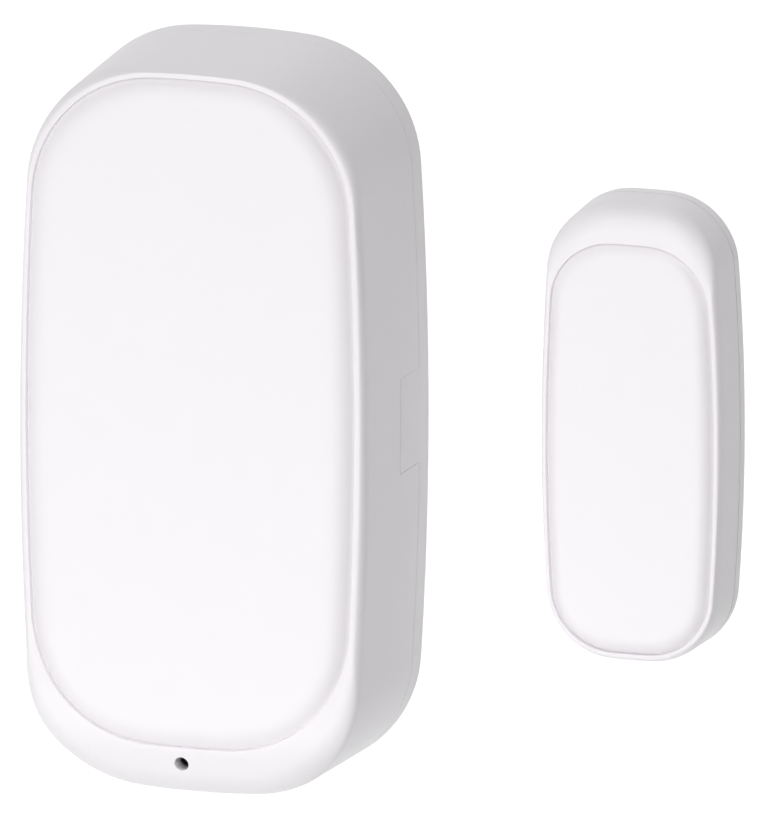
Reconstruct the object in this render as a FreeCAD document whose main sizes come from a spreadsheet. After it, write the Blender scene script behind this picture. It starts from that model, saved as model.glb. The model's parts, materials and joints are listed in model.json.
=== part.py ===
import FreeCAD, Part
import math
import os
import Sketcher
from FreeCAD import Placement, Rotation, Vector

# A two-piece door and window sensor. The sensor unit stands upright with its back towards +Y, so its
# front panel faces -Y. The origin is the middle of the back of the sensor's adhesive pad. The magnet
# unit stands beside it, at +X. All sizes are in millimetres, and depths are counted from the back of
# the cases towards the front.

# Each row is the size's name, its value and what it measures.
SIZES = [
    ("side_room", 1.6, "room beside the reed switch for the drafted wall to lean into"),
    ("far_room", 8.35, "end of the battery cradle to the top of the sensor's case"),
    ("chin_room", 10.35, "end of the battery cradle to the bottom of the sensor's case"),
    ("cover_room", 0.35, "gap between the cells and the rear cover"),
    ("can_room", 0.2, "gap between the radio module and the front wall"),
    ("sensor_corner", 12.0, "radius of the outline's corners"),
    ("sensor_side_bow", 380.0, "radius of the slightly bowed sides"),
    ("sensor_end_bow", 73.0, "radius of the bowed top and bottom"),
    ("sensor_wall", 1.6, "thickness of the front housing"),
    ("sensor_cover_depth", 2.95, "back of the case to the parting line"),
    ("sensor_cover_plate", 1.8, "thickness of the rear cover's plate"),
    ("sensor_panel_side", 1.55, "side of the case to the front panel"),
    ("sensor_panel_far", 1.25, "top of the case to the front panel"),
    ("sensor_panel_chin", 5.45, "bottom of the case to the front panel"),
    ("sensor_panel_corner", 11.2, "radius of the panel's corners"),
    ("sensor_chin_height", 7.6, "bottom of the case to where its front starts to slope"),
    ("magnet_width", 18.1, "width of the magnet unit at its back"),
    ("magnet_height", 43.7, "height of the magnet unit at its back"),
    ("magnet_corner", 6.8, "radius of the outline's corners"),
    ("magnet_side_bow", 207.0, "radius of the slightly bowed sides"),
    ("magnet_end_bow", 60.0, "radius of the bowed top and bottom"),
    ("magnet_wall", 1.3, "thickness of the magnet's housing"),
    ("magnet_cover_depth", 1.75, "back of the case to the parting line"),
    ("magnet_cover_plate", 1.1, "thickness of the magnet's rear cover"),
    ("magnet_panel_side", 0.85, "side of the case to the front panel"),
    ("magnet_panel_far", 0.95, "end of the case without the chin to the front panel"),
    ("magnet_panel_chin", 3.85, "end of the case with the chin to the front panel"),
    ("magnet_panel_corner", 6.1, "radius of the panel's corners"),
    ("magnet_chin_height", 5.2, "end of the case to where its front starts to slope"),
    ("magnet_across", 39.2, "middle of the sensor to the middle of the magnet unit"),
    ("magnet_up", 0.8, "how much higher the magnet unit's middle is"),
    ("draft_slope", 0.035, "how much the walls lean in for each millimetre of depth"),
    ("panel_rise", 0.4, "how far the panel stands in front of the rim around it"),
    ("panel_roll", 2.4, "width over which the panel's edge rolls down"),
    ("crease_width", 0.4, "width of the crease around the panel"),
    ("crease_sink", 0.25, "depth of the crease below the rim"),
    ("chin_blend", 12.0, "radius that leads from the front into the chin"),
    ("chin_slope", 17.0, "slope of the chin, in degrees"),
    ("rim_round", 1.2, "rounding of the housing's front edge"),
    ("back_round", 0.7, "rounding of the covers' rear edge"),
    ("seam_gap", 0.12, "gap at the parting line and round the latch tongue"),
    ("lip_gap", 0.1, "gap between the covers' lips and the housings' walls"),
    ("lip_width", 0.9, "thickness of the covers' lips"),
    ("lip_reach", 1.8, "how far the lips stand past the parting line"),
    ("tongue_reach", 8.0, "back of the case to the front end of the latch tongue"),
    ("tongue_height", 8.8, "height of the latch tongue"),
    ("pad_depth", 0.8, "thickness of the adhesive pads"),
    ("pad_recess", 0.3, "depth of the recess that the pads lie in"),
    ("sensor_pad_width", 22.0, "width of the sensor's adhesive pad"),
    ("sensor_pad_height", 50.0, "height of the sensor's adhesive pad"),
    ("magnet_pad_width", 11.0, "width of the magnet's adhesive pad"),
    ("magnet_pad_height", 32.0, "height of the magnet's adhesive pad"),
    ("pad_corner", 3.0, "radius of the pads' corners"),
    ("board_thickness", 0.8, "thickness of the circuit board"),
    ("board_gap", 0.5, "gap between the circuit board's edge and the housing's wall"),
    ("screw_width", 1.6, "diameter of the screws that hold the circuit board"),
    ("screw_length", 3.4, "length of the screws under their heads"),
    ("screw_head_width", 3.0, "diameter of the screws' heads"),
    ("screw_head_depth", 0.9, "height of the screws' heads"),
    ("boss_width", 3.8, "diameter of the bosses that the screws go into"),
    ("screw_across_top", 7.6, "place of the upper screws to each side"),
    ("screw_end_top", 5.8, "top of the case to the upper screws"),
    ("screw_across_low", 9.6, "place of the lower screws to each side"),
    ("screw_end_low", 8.0, "bottom of the case to the lower screws"),
    ("cell_width", 10.5, "diameter of an AAA cell"),
    ("cell_length", 44.5, "length of an AAA cell with its contact stud"),
    ("cell_stud_width", 3.8, "diameter of a cell's contact stud"),
    ("cell_stud_length", 0.9, "length of a cell's contact stud"),
    ("cell_spacing", 10.8, "distance between the middles of the two cells"),
    ("cell_gap", 0.15, "gap between a cell and the cradle around it"),
    ("cradle_floor", 0.6, "least thickness of the cradle between the cells and the board"),
    ("cradle_wall", 0.8, "thickness of the cradle's side walls"),
    ("cradle_end", 1.2, "thickness of the cradle's end walls"),
    ("contact_thickness", 0.4, "thickness of the contact plates"),
    ("contact_width", 7.4, "width of a contact plate"),
    ("contact_leg_width", 1.6, "width of the legs that join the contacts to the board"),
    ("spring_length", 3.6, "length of a contact spring with its cell in place"),
    ("spring_wire", 0.5, "diameter of the contact springs' wire"),
    ("spring_wide", 6.4, "diameter of a contact spring at its plate"),
    ("spring_narrow", 4.0, "diameter of a contact spring at its cell"),
    ("spring_turns", 3.0, "turns of a contact spring"),
    ("module_width", 16.0, "width of the radio module's board"),
    ("module_height", 17.0, "height of the radio module's board"),
    ("module_thickness", 0.8, "thickness of the radio module's board"),
    ("module_end", 17.0, "top of the case to the radio module's middle"),
    ("can_width", 13.6, "width of the radio module's shield can"),
    ("can_height", 11.4, "height of the radio module's shield can"),
    ("can_depth", 1.5, "depth of the radio module's shield can"),
    ("can_down", 2.2, "how far the can's middle lies below the module's"),
    ("reed_width", 2.2, "diameter of the reed switch's glass"),
    ("reed_length", 14.0, "length of the reed switch's glass"),
    ("reed_glass_wall", 0.4, "thickness of the glass"),
    ("reed_end", 1.6, "length of the glass sealed round each lead"),
    ("reed_beside", 0.5, "gap between the reed switch and the battery cradle"),
    ("reed_lift", 0.3, "gap between the glass and the board"),
    ("reed_lead_width", 0.5, "diameter of the reed switch's leads"),
    ("reed_lead_run", 2.0, "how far the leads go straight before they turn to the board"),
    ("reed_blade_width", 0.9, "width of the blades in the glass"),
    ("reed_blade_thickness", 0.2, "thickness of the blades in the glass"),
    ("reed_blade_overlap", 1.0, "how far the blades' tips overlap"),
    ("reed_blade_gap", 0.1, "gap between the blades' tips"),
    ("switch_width", 3.4, "width of the reset switch"),
    ("switch_height", 2.0, "height of the reset switch"),
    ("switch_depth", 1.0, "depth of the reset switch's body"),
    ("plunger_width", 1.2, "diameter of the reset switch's plunger"),
    ("plunger_reach", 0.4, "how far the plunger stands out of the switch"),
    ("plunger_seat", 0.5, "how far the plunger goes into the switch"),
    ("plunger_gap", 0.04, "gap all round the plunger"),
    ("plunger_travel", 0.25, "how far the plunger moves when it is pressed"),
    ("led_width", 2.0, "width of the status light"),
    ("led_height", 1.25, "height of the status light"),
    ("led_depth", 0.8, "depth of the status light"),
    ("led_across", 3.4, "place of the status light to the right of the pin hole"),
    ("regulator_width", 2.9, "width of the voltage regulator"),
    ("regulator_height", 1.5, "height of the voltage regulator"),
    ("regulator_depth", 1.1, "depth of the voltage regulator"),
    ("regulator_across", 6.5, "place of the voltage regulator across the case"),
    ("regulator_end", 22.0, "bottom of the case to the voltage regulator"),
    ("capacitor_width", 5.0, "diameter of the bulk capacitor"),
    ("capacitor_length", 5.4, "length of the bulk capacitor"),
    ("capacitor_base", 0.8, "thickness of the bulk capacitor's base"),
    ("capacitor_end", 6.6, "bottom of the case to the bulk capacitor"),
    ("chip_length", 1.6, "length of a chip resistor"),
    ("chip_width", 0.8, "width of a chip resistor"),
    ("chip_depth", 0.5, "depth of a chip resistor"),
    ("chip_spacing", 2.6, "distance from one chip resistor to the next"),
    ("chip_end", 15.0, "bottom of the case to the row of chip resistors"),
    ("bar_magnet_width", 8.0, "width of the bar magnet"),
    ("bar_magnet_height", 26.0, "height of the bar magnet"),
    ("bar_magnet_depth", 3.6, "depth of the bar magnet"),
    ("magnet_rib", 0.9, "thickness of the frame that holds the bar magnet"),
    ("magnet_rib_depth", 2.4, "depth of the frame that holds the bar magnet"),
    ("magnet_rib_gap", 0.08, "gap between the bar magnet and its frame"),
    ("hole_gap", 0.1, "gap round the screws in the board and round the contacts' legs"),
    ("post_width", 4.0, "width of the rib on the magnet's cover that presses on the magnet"),
    ("post_height", 18.0, "height of the rib on the magnet's cover that presses on the magnet"),
    ("post_depth", 1.4, "depth of the rib on the magnet's cover that presses on the magnet"),
    ("pin_hole_width", 1.35, "diameter of the hole for the reset pin"),
    ("pin_hole_across", -0.9, "place of the pin hole across the case"),
    ("pin_hole_rise", 3.8, "bottom of the case to the middle of the pin hole"),
]

os.makedirs("parts", exist_ok=True)
doc = FreeCAD.newDocument("door_window_sensor")
sheet = doc.addObject("Spreadsheet::Sheet", "sizes")
for row, (alias, value, meaning) in enumerate(SIZES, start=1):
    sheet.set(f"A{row}", meaning)
    sheet.set(f"B{row}", str(value))
    sheet.setAlias(f"B{row}", alias)
doc.recompute()


# The places that many pieces share, as expressions on the sheet. The sensor's case is as deep, wide
# and high as the stack of parts that it holds, and so is the depth of the magnet's.
BACK = "(sizes.pad_depth - sizes.pad_recess)"
CELL_DEPTH = "(sizes.sensor_cover_plate + sizes.cover_room + sizes.cell_width / 2)"
BOARD_REAR = f"({CELL_DEPTH} + sizes.cell_width / 2 + sizes.cell_gap + sizes.cradle_floor)"
BOARD_FRONT = f"({BOARD_REAR} + sizes.board_thickness)"
CRADLE_SIDE = ("(sizes.cell_spacing / 2 + sizes.cell_width / 2 + sizes.cell_gap"
               " + sizes.cradle_wall)")
REED_ACROSS = f"({CRADLE_SIDE} + sizes.reed_beside + sizes.reed_width / 2)"
CRADLE_INSIDE = "(sizes.cell_length + sizes.spring_length + 2 * sizes.contact_thickness)"
CRADLE_UP = "((sizes.chin_room - sizes.far_room) / 2)"
CRADLE_LOW = f"({CRADLE_UP} - {CRADLE_INSIDE} / 2)"
CRADLE_HIGH = f"({CRADLE_UP} + {CRADLE_INSIDE} / 2)"
WIDTH = {
    "sensor": f"(2 * ({REED_ACROSS} + sizes.reed_width / 2 + sizes.side_room + sizes.sensor_wall))",
    "magnet": "sizes.magnet_width",
}
HEIGHT = {
    "sensor": f"({CRADLE_INSIDE} + 2 * sizes.cradle_end + sizes.far_room + sizes.chin_room)",
    "magnet": "sizes.magnet_height",
}
# The rim is the part of the front that lies around the raised panel.
RIM = {
    "sensor": (f"({BOARD_FRONT} + sizes.module_thickness + sizes.can_depth + sizes.can_room"
               " + sizes.sensor_wall)"),
    "magnet": ("(sizes.magnet_cover_plate + sizes.post_depth + sizes.bar_magnet_depth"
               " + sizes.magnet_wall)"),
}
PIN_HOLE_UP = f"(sizes.pin_hole_rise - {HEIGHT['sensor']} / 2)"


def number(expression):
    """The value of an expression on the sheet's sizes."""
    return float(sheet.evalExpression(expression))


def bind(item, **sizes):
    """Bind properties of an object to expressions on the sheet; two underscores stand for a dot."""
    for name, expression in sizes.items():
        item.setExpression(name.replace("__", "."), expression)


# Part design helpers


def new_body(name):
    """An empty body with a name of its own."""
    body = doc.addObject("PartDesign::Body", name)
    body.Label = name
    return body


def new_sketch(body, name, plane_role, depth="0", across="0", up="0"):
    """A sketch on one of the body's own origin planes, pushed out along the plane's normal."""
    sketch = body.newObject("Sketcher::SketchObject", name)
    plane = [item for item in body.Origin.OriginFeatures if item.Role == plane_role][0]
    sketch.AttachmentSupport = [(plane, "")]
    sketch.MapMode = "FlatFace"
    bind(sketch, AttachmentOffset__Base__x=across, AttachmentOffset__Base__y=up,
         AttachmentOffset__Base__z=depth)
    return sketch


def add_bowed_outline(sketch, half_width, half_height, corner, side_bow, end_bow):
    """A closed outline of eight tangent arcs: two bowed sides, two bowed ends and four round corners."""
    wide = number(half_width)
    high = number(half_height)
    round_off = number(corner)
    side = number(side_bow)
    end = number(end_bow)
    side_middle = Vector(wide - side, 0, 0)
    end_middle = Vector(0, high - end, 0)
    # The corner's middle lies where the circles that keep it tangent to the side and the end meet.
    apart = end_middle - side_middle
    along = (apart.Length ** 2 + (side - round_off) ** 2 - (end - round_off) ** 2) / (2 * apart.Length)
    aside = math.sqrt((side - round_off) ** 2 - along ** 2)
    forward = Vector(apart).normalize()
    corner_middle = side_middle + forward * along + Vector(-forward.y, forward.x, 0) * aside
    low = math.atan2(corner_middle.y - side_middle.y, corner_middle.x - side_middle.x)
    steep = math.atan2(corner_middle.y - end_middle.y, corner_middle.x - end_middle.x)
    first = sketch.GeometryCount
    quarter = math.pi / 2
    arcs = [
        (side_middle, side, -low, low),
        (corner_middle, round_off, low, steep),
        (end_middle, end, steep, 2 * quarter - steep),
        (Vector(-corner_middle.x, corner_middle.y, 0), round_off, 2 * quarter - steep, 2 * quarter - low),
        (Vector(-side_middle.x, 0, 0), side, 2 * quarter - low, 2 * quarter + low),
        (corner_middle * -1, round_off, 2 * quarter + low, 2 * quarter + steep),
        (end_middle * -1, end, 2 * quarter + steep, 4 * quarter - steep),
        (Vector(corner_middle.x, -corner_middle.y, 0), round_off, 4 * quarter - steep, 4 * quarter - low),
    ]
    for middle, radius, start, stop in arcs:
        circle = Part.Circle(middle, Vector(0, 0, 1), radius)
        sketch.addGeometry(Part.ArcOfCircle(circle, start, stop), False)
    count = len(arcs)
    for place in range(count):
        sketch.addConstraint(
            Sketcher.Constraint("Tangent", first + place, 2, first + (place + 1) % count, 1))
    for place, axis in ((0, -1), (4, -1), (2, -2), (6, -2)):
        sketch.addConstraint(Sketcher.Constraint("PointOnObject", first + place, 3, axis))
    for leader, followers in ((0, (4,)), (2, (6,)), (1, (3, 5, 7))):
        for follower in followers:
            sketch.addConstraint(Sketcher.Constraint("Equal", first + leader, first + follower))
    measures = [
        (Sketcher.Constraint("Radius", first, side), side_bow),
        (Sketcher.Constraint("Radius", first + 2, end), end_bow),
        (Sketcher.Constraint("Radius", first + 1, round_off), corner),
        (Sketcher.Constraint("DistanceX", first, 3, -1, 1, side - wide), f"({side_bow}) - ({half_width})"),
        (Sketcher.Constraint("DistanceY", first + 2, 3, -1, 1, end - high), f"({end_bow}) - ({half_height})"),
        (Sketcher.Constraint("DistanceX", -1, 1, first + 4, 3, side - wide), f"({side_bow}) - ({half_width})"),
        (Sketcher.Constraint("DistanceY", -1, 1, first + 6, 3, end - high), f"({end_bow}) - ({half_height})"),
    ]
    for constraint, expression in measures:
        place = sketch.addConstraint(constraint)
        sketch.setExpression(f"Constraints[{place}]", expression)


def add_rectangle(sketch, left, bottom, right, top):
    """A rectangle whose four sides are bound to expressions."""
    x0, y0, x1, y1 = (number(edge) for edge in (left, bottom, right, top))
    corners = [Vector(x0, y0, 0), Vector(x1, y0, 0), Vector(x1, y1, 0), Vector(x0, y1, 0)]
    first = sketch.GeometryCount
    for place in range(4):
        sketch.addGeometry(Part.LineSegment(corners[place], corners[(place + 1) % 4]), False)
    for place in range(4):
        sketch.addConstraint(Sketcher.Constraint("Coincident", first + place, 2, first + (place + 1) % 4, 1))
        kind = "Horizontal" if place % 2 == 0 else "Vertical"
        sketch.addConstraint(Sketcher.Constraint(kind, first + place))
    for kind, geometry, value, expression in (("DistanceX", 0, x0, left), ("DistanceY", 0, y0, bottom),
                                              ("DistanceX", 2, x1, right), ("DistanceY", 2, y1, top)):
        place = sketch.addConstraint(Sketcher.Constraint(kind, first + geometry, 1, value))
        sketch.setExpression(f"Constraints[{place}]", expression)


def add_circle(sketch, across, up, radius):
    """A circle whose place and radius are bound to expressions."""
    x, y, r = number(across), number(up), number(radius)
    circle = sketch.addGeometry(Part.Circle(Vector(x, y, 0), Vector(0, 0, 1), r), False)
    for constraint, expression in ((Sketcher.Constraint("DistanceX", circle, 3, x), across),
                                   (Sketcher.Constraint("DistanceY", circle, 3, y), up),
                                   (Sketcher.Constraint("Radius", circle, r), radius)):
        place = sketch.addConstraint(constraint)
        sketch.setExpression(f"Constraints[{place}]", expression)


def loft(body, name, sections, cut=False):
    """A ruled loft through sketches, which adds to the body or cuts it."""
    kind = "PartDesign::SubtractiveLoft" if cut else "PartDesign::AdditiveLoft"
    feature = body.newObject(kind, name)
    feature.Profile = sections[0]
    feature.Sections = sections[1:]
    feature.Ruled = True
    doc.recompute()
    return feature


def pad(body, name, sketch, length):
    """A pad towards the front of the case."""
    feature = body.newObject("PartDesign::Pad", name)
    feature.Profile = sketch
    bind(feature, Length=length)
    doc.recompute()
    return feature


def pocket(body, name, sketch, length, reverse=False, both_ways=False):
    """A pocket against the sketch's normal, or along it when reversed, checked to have cut something."""
    before = body.Shape.Volume
    feature = body.newObject("PartDesign::Pocket", name)
    feature.Profile = sketch
    feature.Reversed = reverse
    if both_ways:
        feature.SideType = "Symmetric"
    bind(feature, Length=length)
    doc.recompute()
    if not body.Shape.Volume < before - 1e-6:
        raise RuntimeError(f"{name} cuts nothing from {body.Name}")
    return feature


# Case mouldings, the same for both units


def outline_at(body, name, unit, depth, inset="0", height_trim="0"):
    """The unit's outer outline at a depth from the back, drawn in by its draft and by an inset."""
    sketch = new_sketch(body, name, "XZ_Plane", f"{BACK} + {depth}")
    lean = f"{inset} + sizes.draft_slope * ({depth})"
    add_bowed_outline(
        sketch,
        f"{WIDTH[unit]} / 2 - ({lean})",
        f"{HEIGHT[unit]} / 2 - ({lean}) - ({height_trim})",
        f"sizes.{unit}_corner - ({lean})",
        f"sizes.{unit}_side_bow - ({lean})",
        f"sizes.{unit}_end_bow - ({lean})",
    )
    return sketch


def panel_at(body, name, unit, depth, inset="0"):
    """The outline of the unit's front panel at a depth from the back, drawn in by an inset."""
    sketch = new_sketch(body, name, "XZ_Plane", f"{BACK} + {depth}",
                        up=f"(sizes.{unit}_panel_chin - sizes.{unit}_panel_far) / 2")
    add_bowed_outline(
        sketch,
        f"{WIDTH[unit]} / 2 - sizes.{unit}_panel_side - ({inset})",
        f"({HEIGHT[unit]} - sizes.{unit}_panel_far - sizes.{unit}_panel_chin) / 2 - ({inset})",
        f"sizes.{unit}_panel_corner - ({inset})",
        f"sizes.{unit}_side_bow - ({inset})",
        f"sizes.{unit}_end_bow * 1.3 - ({inset})",
    )
    return sketch


def drafted_block(body, unit, near, far, inset="0"):
    """The solid form of a housing between two depths, drawn in by an inset, with its chin sloped off."""
    sections = [outline_at(body, f"{body.Name}_rear_outline", unit, near, inset),
                outline_at(body, f"{body.Name}_front_outline", unit, far, inset)]
    loft(body, f"{body.Name}_block", sections)

    # The chin falls away from the front in a slope that starts with a wide rounding.
    chin = new_sketch(body, f"{body.Name}_chin_side", "YZ_Plane")
    blend = number(f"sizes.chin_blend - ({inset})")
    slope = math.radians(number("sizes.chin_slope"))
    front = -number(f"{BACK} + {far}")
    start = -number(f"{HEIGHT[unit]} / 2 - sizes.{unit}_chin_height")
    length = number(f"sizes.{unit}_chin_height")
    middle = Vector(front + blend, start, 0)
    touch = Vector(front, start, 0)
    turn = middle - Vector(math.cos(slope / 2), math.sin(slope / 2), 0) * blend
    leave = middle - Vector(math.cos(slope), math.sin(slope), 0) * blend
    tip = leave + Vector(math.sin(slope), -math.cos(slope), 0) * length
    outer = Vector(front - blend, tip.y, 0)
    corner = Vector(front - blend, start, 0)
    chin.addGeometry(Part.Arc(touch, turn, leave), False)
    for here, there in ((leave, tip), (tip, outer), (outer, corner), (corner, touch)):
        chin.addGeometry(Part.LineSegment(here, there), False)
    for place in range(chin.GeometryCount):
        chin.addConstraint(Sketcher.Constraint("Block", place))
    pocket(body, f"{body.Name}_chin_cut", chin, f"{WIDTH[unit]} * 2", both_ways=True)


def round_edges(body, name, chosen, radius):
    """Round the body's edges for which the chosen test, given an edge's middle, says yes."""
    names = []
    for place, edge in enumerate(body.Shape.Edges, start=1):
        middle = edge.valueAt((edge.FirstParameter + edge.LastParameter) / 2)
        if chosen(middle, edge):
            names.append(f"Edge{place}")
    feature = body.newObject("PartDesign::Fillet", name)
    feature.Base = (feature.BaseFeature, names)
    bind(feature, Radius=radius)
    doc.recompute()
    return feature


def front_housing(unit):
    """The front moulding: drafted walls, a sloping chin, a hollow back and a pillow-shaped panel."""
    body = new_body(f"{unit}_front_housing")
    rim = RIM[unit]
    rear = f"sizes.{unit}_cover_depth + sizes.seam_gap"
    drafted_block(body, unit, rear, rim)

    # The whole front edge is rounded, along the sides, the far end and the chin.
    rim_place = number(f"{BACK} + {rim}")
    chin_drop = number(f"sizes.{unit}_chin_height * tan(sizes.chin_slope)")

    def on_front_edge(middle, edge):
        beside = abs(middle.x) > number(f"{WIDTH[unit]} / 4")
        beyond = abs(middle.z) > number(f"{HEIGHT[unit]} / 2 - sizes.{unit}_corner / 2")
        flat = edge.BoundBox.YLength < chin_drop
        return flat and -middle.y > rim_place - chin_drop - 0.01 and (beside or beyond)

    round_edges(body, f"{unit}_front_round", on_front_edge, "sizes.rim_round")

    # The panel rises in front of the rim, inside a fine crease, and its edge rolls down into it.
    sunk = f"{rim} - sizes.crease_sink"
    crease = panel_at(body, f"{unit}_crease", unit, rim, "-sizes.crease_width / 2")
    pocket(body, f"{unit}_crease_cut", crease, "sizes.crease_sink")
    rolls = [("sizes.crease_width / 2", sunk),
             ("sizes.crease_width", f"{rim} - sizes.crease_sink / 4"),
             ("sizes.panel_roll / 2", f"{rim} + sizes.panel_rise * 0.55"),
             ("sizes.panel_roll", f"{rim} + sizes.panel_rise * 0.9"),
             ("sizes.panel_roll * 2", f"{rim} + sizes.panel_rise")]
    sections = [panel_at(body, f"{unit}_panel_{place}", unit, depth, inset)
                for place, (inset, depth) in enumerate(rolls)]
    loft(body, f"{unit}_panel", sections)

    # The back is hollow, with walls of one thickness.
    cavity = new_body(f"{unit}_cavity")
    drafted_block(cavity, unit, f"{rear} - sizes.{unit}_wall", f"{rim} - sizes.{unit}_wall",
                  f"sizes.{unit}_wall")
    hollow = body.newObject("PartDesign::Boolean", f"{unit}_hollow")
    hollow.Type = "Cut"
    hollow.setObjects([cavity])
    doc.recompute()
    return body


def screw_places():
    """Where the screws go: each place is the expressions of its sideways and upward coordinates."""
    places = []
    for side in ("", "-"):
        places.append((f"{side}sizes.screw_across_top", f"{HEIGHT['sensor']} / 2 - sizes.screw_end_top"))
        places.append((f"{side}sizes.screw_across_low", f"sizes.screw_end_low - {HEIGHT['sensor']} / 2"))
    return places


def finish_sensor_housing(body):
    """The sensor's own details: screw bosses, the pin hole and the notch for the latch tongue."""
    bosses = new_sketch(body, "boss_circles", "XZ_Plane", f"{BACK} + {BOARD_FRONT}")
    holes = new_sketch(body, "boss_holes_circles", "XZ_Plane", f"{BACK} + {BOARD_FRONT}")
    for across, up in screw_places():
        add_circle(bosses, across, up, "sizes.boss_width / 2")
        add_circle(holes, across, up, "sizes.screw_width / 2")
    pad(body, "bosses", bosses,
        f"{RIM['sensor']} - sizes.sensor_wall / 2 - {BOARD_FRONT}")
    holes_depth = "sizes.screw_length - sizes.board_thickness"
    pocket(body, "boss_holes", holes, holes_depth, reverse=True)

    pin_hole = new_sketch(body, "pin_hole_circle", "XZ_Plane", f"{BACK} + {RIM['sensor']}")
    add_circle(pin_hole, "sizes.pin_hole_across", PIN_HOLE_UP,
               "sizes.pin_hole_width / 2")
    pocket(body, "pin_hole", pin_hole, f"{RIM['sensor']} - {BOARD_FRONT} - sizes.switch_depth")

    # The notch is open towards the back, and the cover's tongue fills it.
    notch = new_sketch(body, "notch_side", "YZ_Plane", f"{WIDTH['sensor']} / 2 - sizes.sensor_wall * 2")
    add_rectangle(notch, f"-{BACK} - sizes.tongue_reach - sizes.seam_gap",
                  "-sizes.tongue_height / 2 - sizes.seam_gap",
                  f"-{BACK} - sizes.sensor_cover_plate",
                  "sizes.tongue_height / 2 + sizes.seam_gap")
    pocket(body, "notch", notch, "sizes.sensor_wall * 3", reverse=True)


def rear_cover(unit, has_tongue):
    """The rear moulding: a shallow tray with a lip inside the housing, and the sensor's latch tongue."""
    body = new_body(f"{unit}_rear_cover")
    plate = f"sizes.{unit}_cover_plate"
    parting = f"sizes.{unit}_cover_depth"
    top = "sizes.tongue_reach" if has_tongue else parting
    sections = [outline_at(body, f"{unit}_cover_back", unit, "0"),
                outline_at(body, f"{unit}_cover_top", unit, top)]
    loft(body, f"{unit}_cover_block", sections)
    inner = [outline_at(body, f"{unit}_tray_floor", unit, plate, f"sizes.{unit}_wall"),
             outline_at(body, f"{unit}_tray_top", unit, top, f"sizes.{unit}_wall")]
    loft(body, f"{unit}_tray", inner, cut=True)

    if has_tongue:
        rest = new_sketch(body, "tongue_rest", "XZ_Plane", f"{BACK} + {top}")
        wide = f"{WIDTH[unit]}"
        high = f"{HEIGHT[unit]}"
        add_rectangle(rest, f"-{wide}", f"-{high}", wide, high)
        add_rectangle(rest, f"{wide} / 2 - sizes.{unit}_wall * 2", "-sizes.tongue_height / 2",
                      f"{wide} * 0.75", "sizes.tongue_height / 2")
        pocket(body, "tongue_trim", rest, f"{top} - {parting}")

    # The lip stands inside the housing's wall and keeps the cover square on it.
    lip = outline_at(body, f"{unit}_lip_ring", unit, plate,
                     f"sizes.{unit}_wall + sizes.lip_gap + sizes.draft_slope * sizes.lip_reach")
    lean = (f"(sizes.{unit}_wall + sizes.lip_gap + sizes.lip_width"
            f" + sizes.draft_slope * (sizes.lip_reach + {plate}))")
    add_bowed_outline(lip, f"{WIDTH[unit]} / 2 - {lean}", f"{HEIGHT[unit]} / 2 - {lean}",
                      f"sizes.{unit}_corner - {lean}", f"sizes.{unit}_side_bow - {lean}",
                      f"sizes.{unit}_end_bow - {lean}")
    pad(body, f"{unit}_lip", lip, f"{parting} - {plate} + sizes.lip_reach")

    def on_back_edge(middle, edge):
        beside = abs(middle.x) > number(f"{WIDTH[unit]} / 4")
        beyond = abs(middle.z) > number(f"{HEIGHT[unit]} / 3")
        return (beside or beyond) and edge.BoundBox.YLength < 1e-4 and abs(middle.y + number(BACK)) < 1e-4

    round_edges(body, f"{unit}_back_round", on_back_edge, "sizes.back_round")

    recess = new_sketch(body, f"{unit}_pad_recess", "XZ_Plane", BACK)
    half_wide = f"sizes.{unit}_pad_width / 2 + sizes.seam_gap"
    half_high = f"sizes.{unit}_pad_height / 2 + sizes.seam_gap"
    add_rectangle(recess, f"-({half_wide})", f"-({half_high})", half_wide, half_high)
    pocket(body, f"{unit}_recess", recess, "sizes.pad_recess", reverse=True)
    return body


def finish_magnet_housing(body):
    """The frame inside the magnet's housing that holds the bar magnet."""
    inner_wall = f"{RIM['magnet']} - sizes.magnet_wall"
    frame = new_sketch(body, "magnet_frame", "XZ_Plane",
                       f"{BACK} + {inner_wall} - sizes.magnet_rib_depth")
    for grow in ("sizes.magnet_rib_gap", "(sizes.magnet_rib_gap + sizes.magnet_rib)"):
        half_wide = f"sizes.bar_magnet_width / 2 + {grow}"
        half_high = f"sizes.bar_magnet_height / 2 + {grow}"
        add_rectangle(frame, f"-({half_wide})", f"-({half_high})", half_wide, half_high)
    pad(body, "magnet_frame_pad", frame, "sizes.magnet_rib_depth + sizes.magnet_wall / 2")


def finish_magnet_cover(body):
    """The rib on the magnet's cover that keeps the bar magnet against the housing."""
    rib = new_sketch(body, "magnet_rib_side", "XZ_Plane", f"{BACK} + sizes.magnet_cover_plate / 2")
    add_rectangle(rib, "-sizes.post_width / 2", "-sizes.post_height / 2",
                  "sizes.post_width / 2", "sizes.post_height / 2")
    reach = f"{RIM['magnet']} - sizes.magnet_wall - sizes.bar_magnet_depth"
    pad(body, "magnet_rib_pad", rib, f"{reach} - sizes.magnet_cover_plate / 2")


def adhesive_pad(unit):
    """The foam tape on the back of a unit, with rounded corners."""
    body = new_body(f"{unit}_adhesive_pad")
    sketch = new_sketch(body, f"{unit}_pad_outline", "XZ_Plane")
    half_wide = f"sizes.{unit}_pad_width / 2"
    half_high = f"sizes.{unit}_pad_height / 2"
    add_rectangle(sketch, f"-{half_wide}", f"-{half_high}", half_wide, half_high)
    pad(body, f"{unit}_pad_block", sketch, "sizes.pad_depth")

    def on_corner(middle, edge):
        return edge.BoundBox.YLength > number("sizes.pad_depth") / 2

    round_edges(body, f"{unit}_pad_corners", on_corner, "sizes.pad_corner")
    return body


# Electronics and battery parts. Depths are counted from the back of the case, as everywhere.


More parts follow.
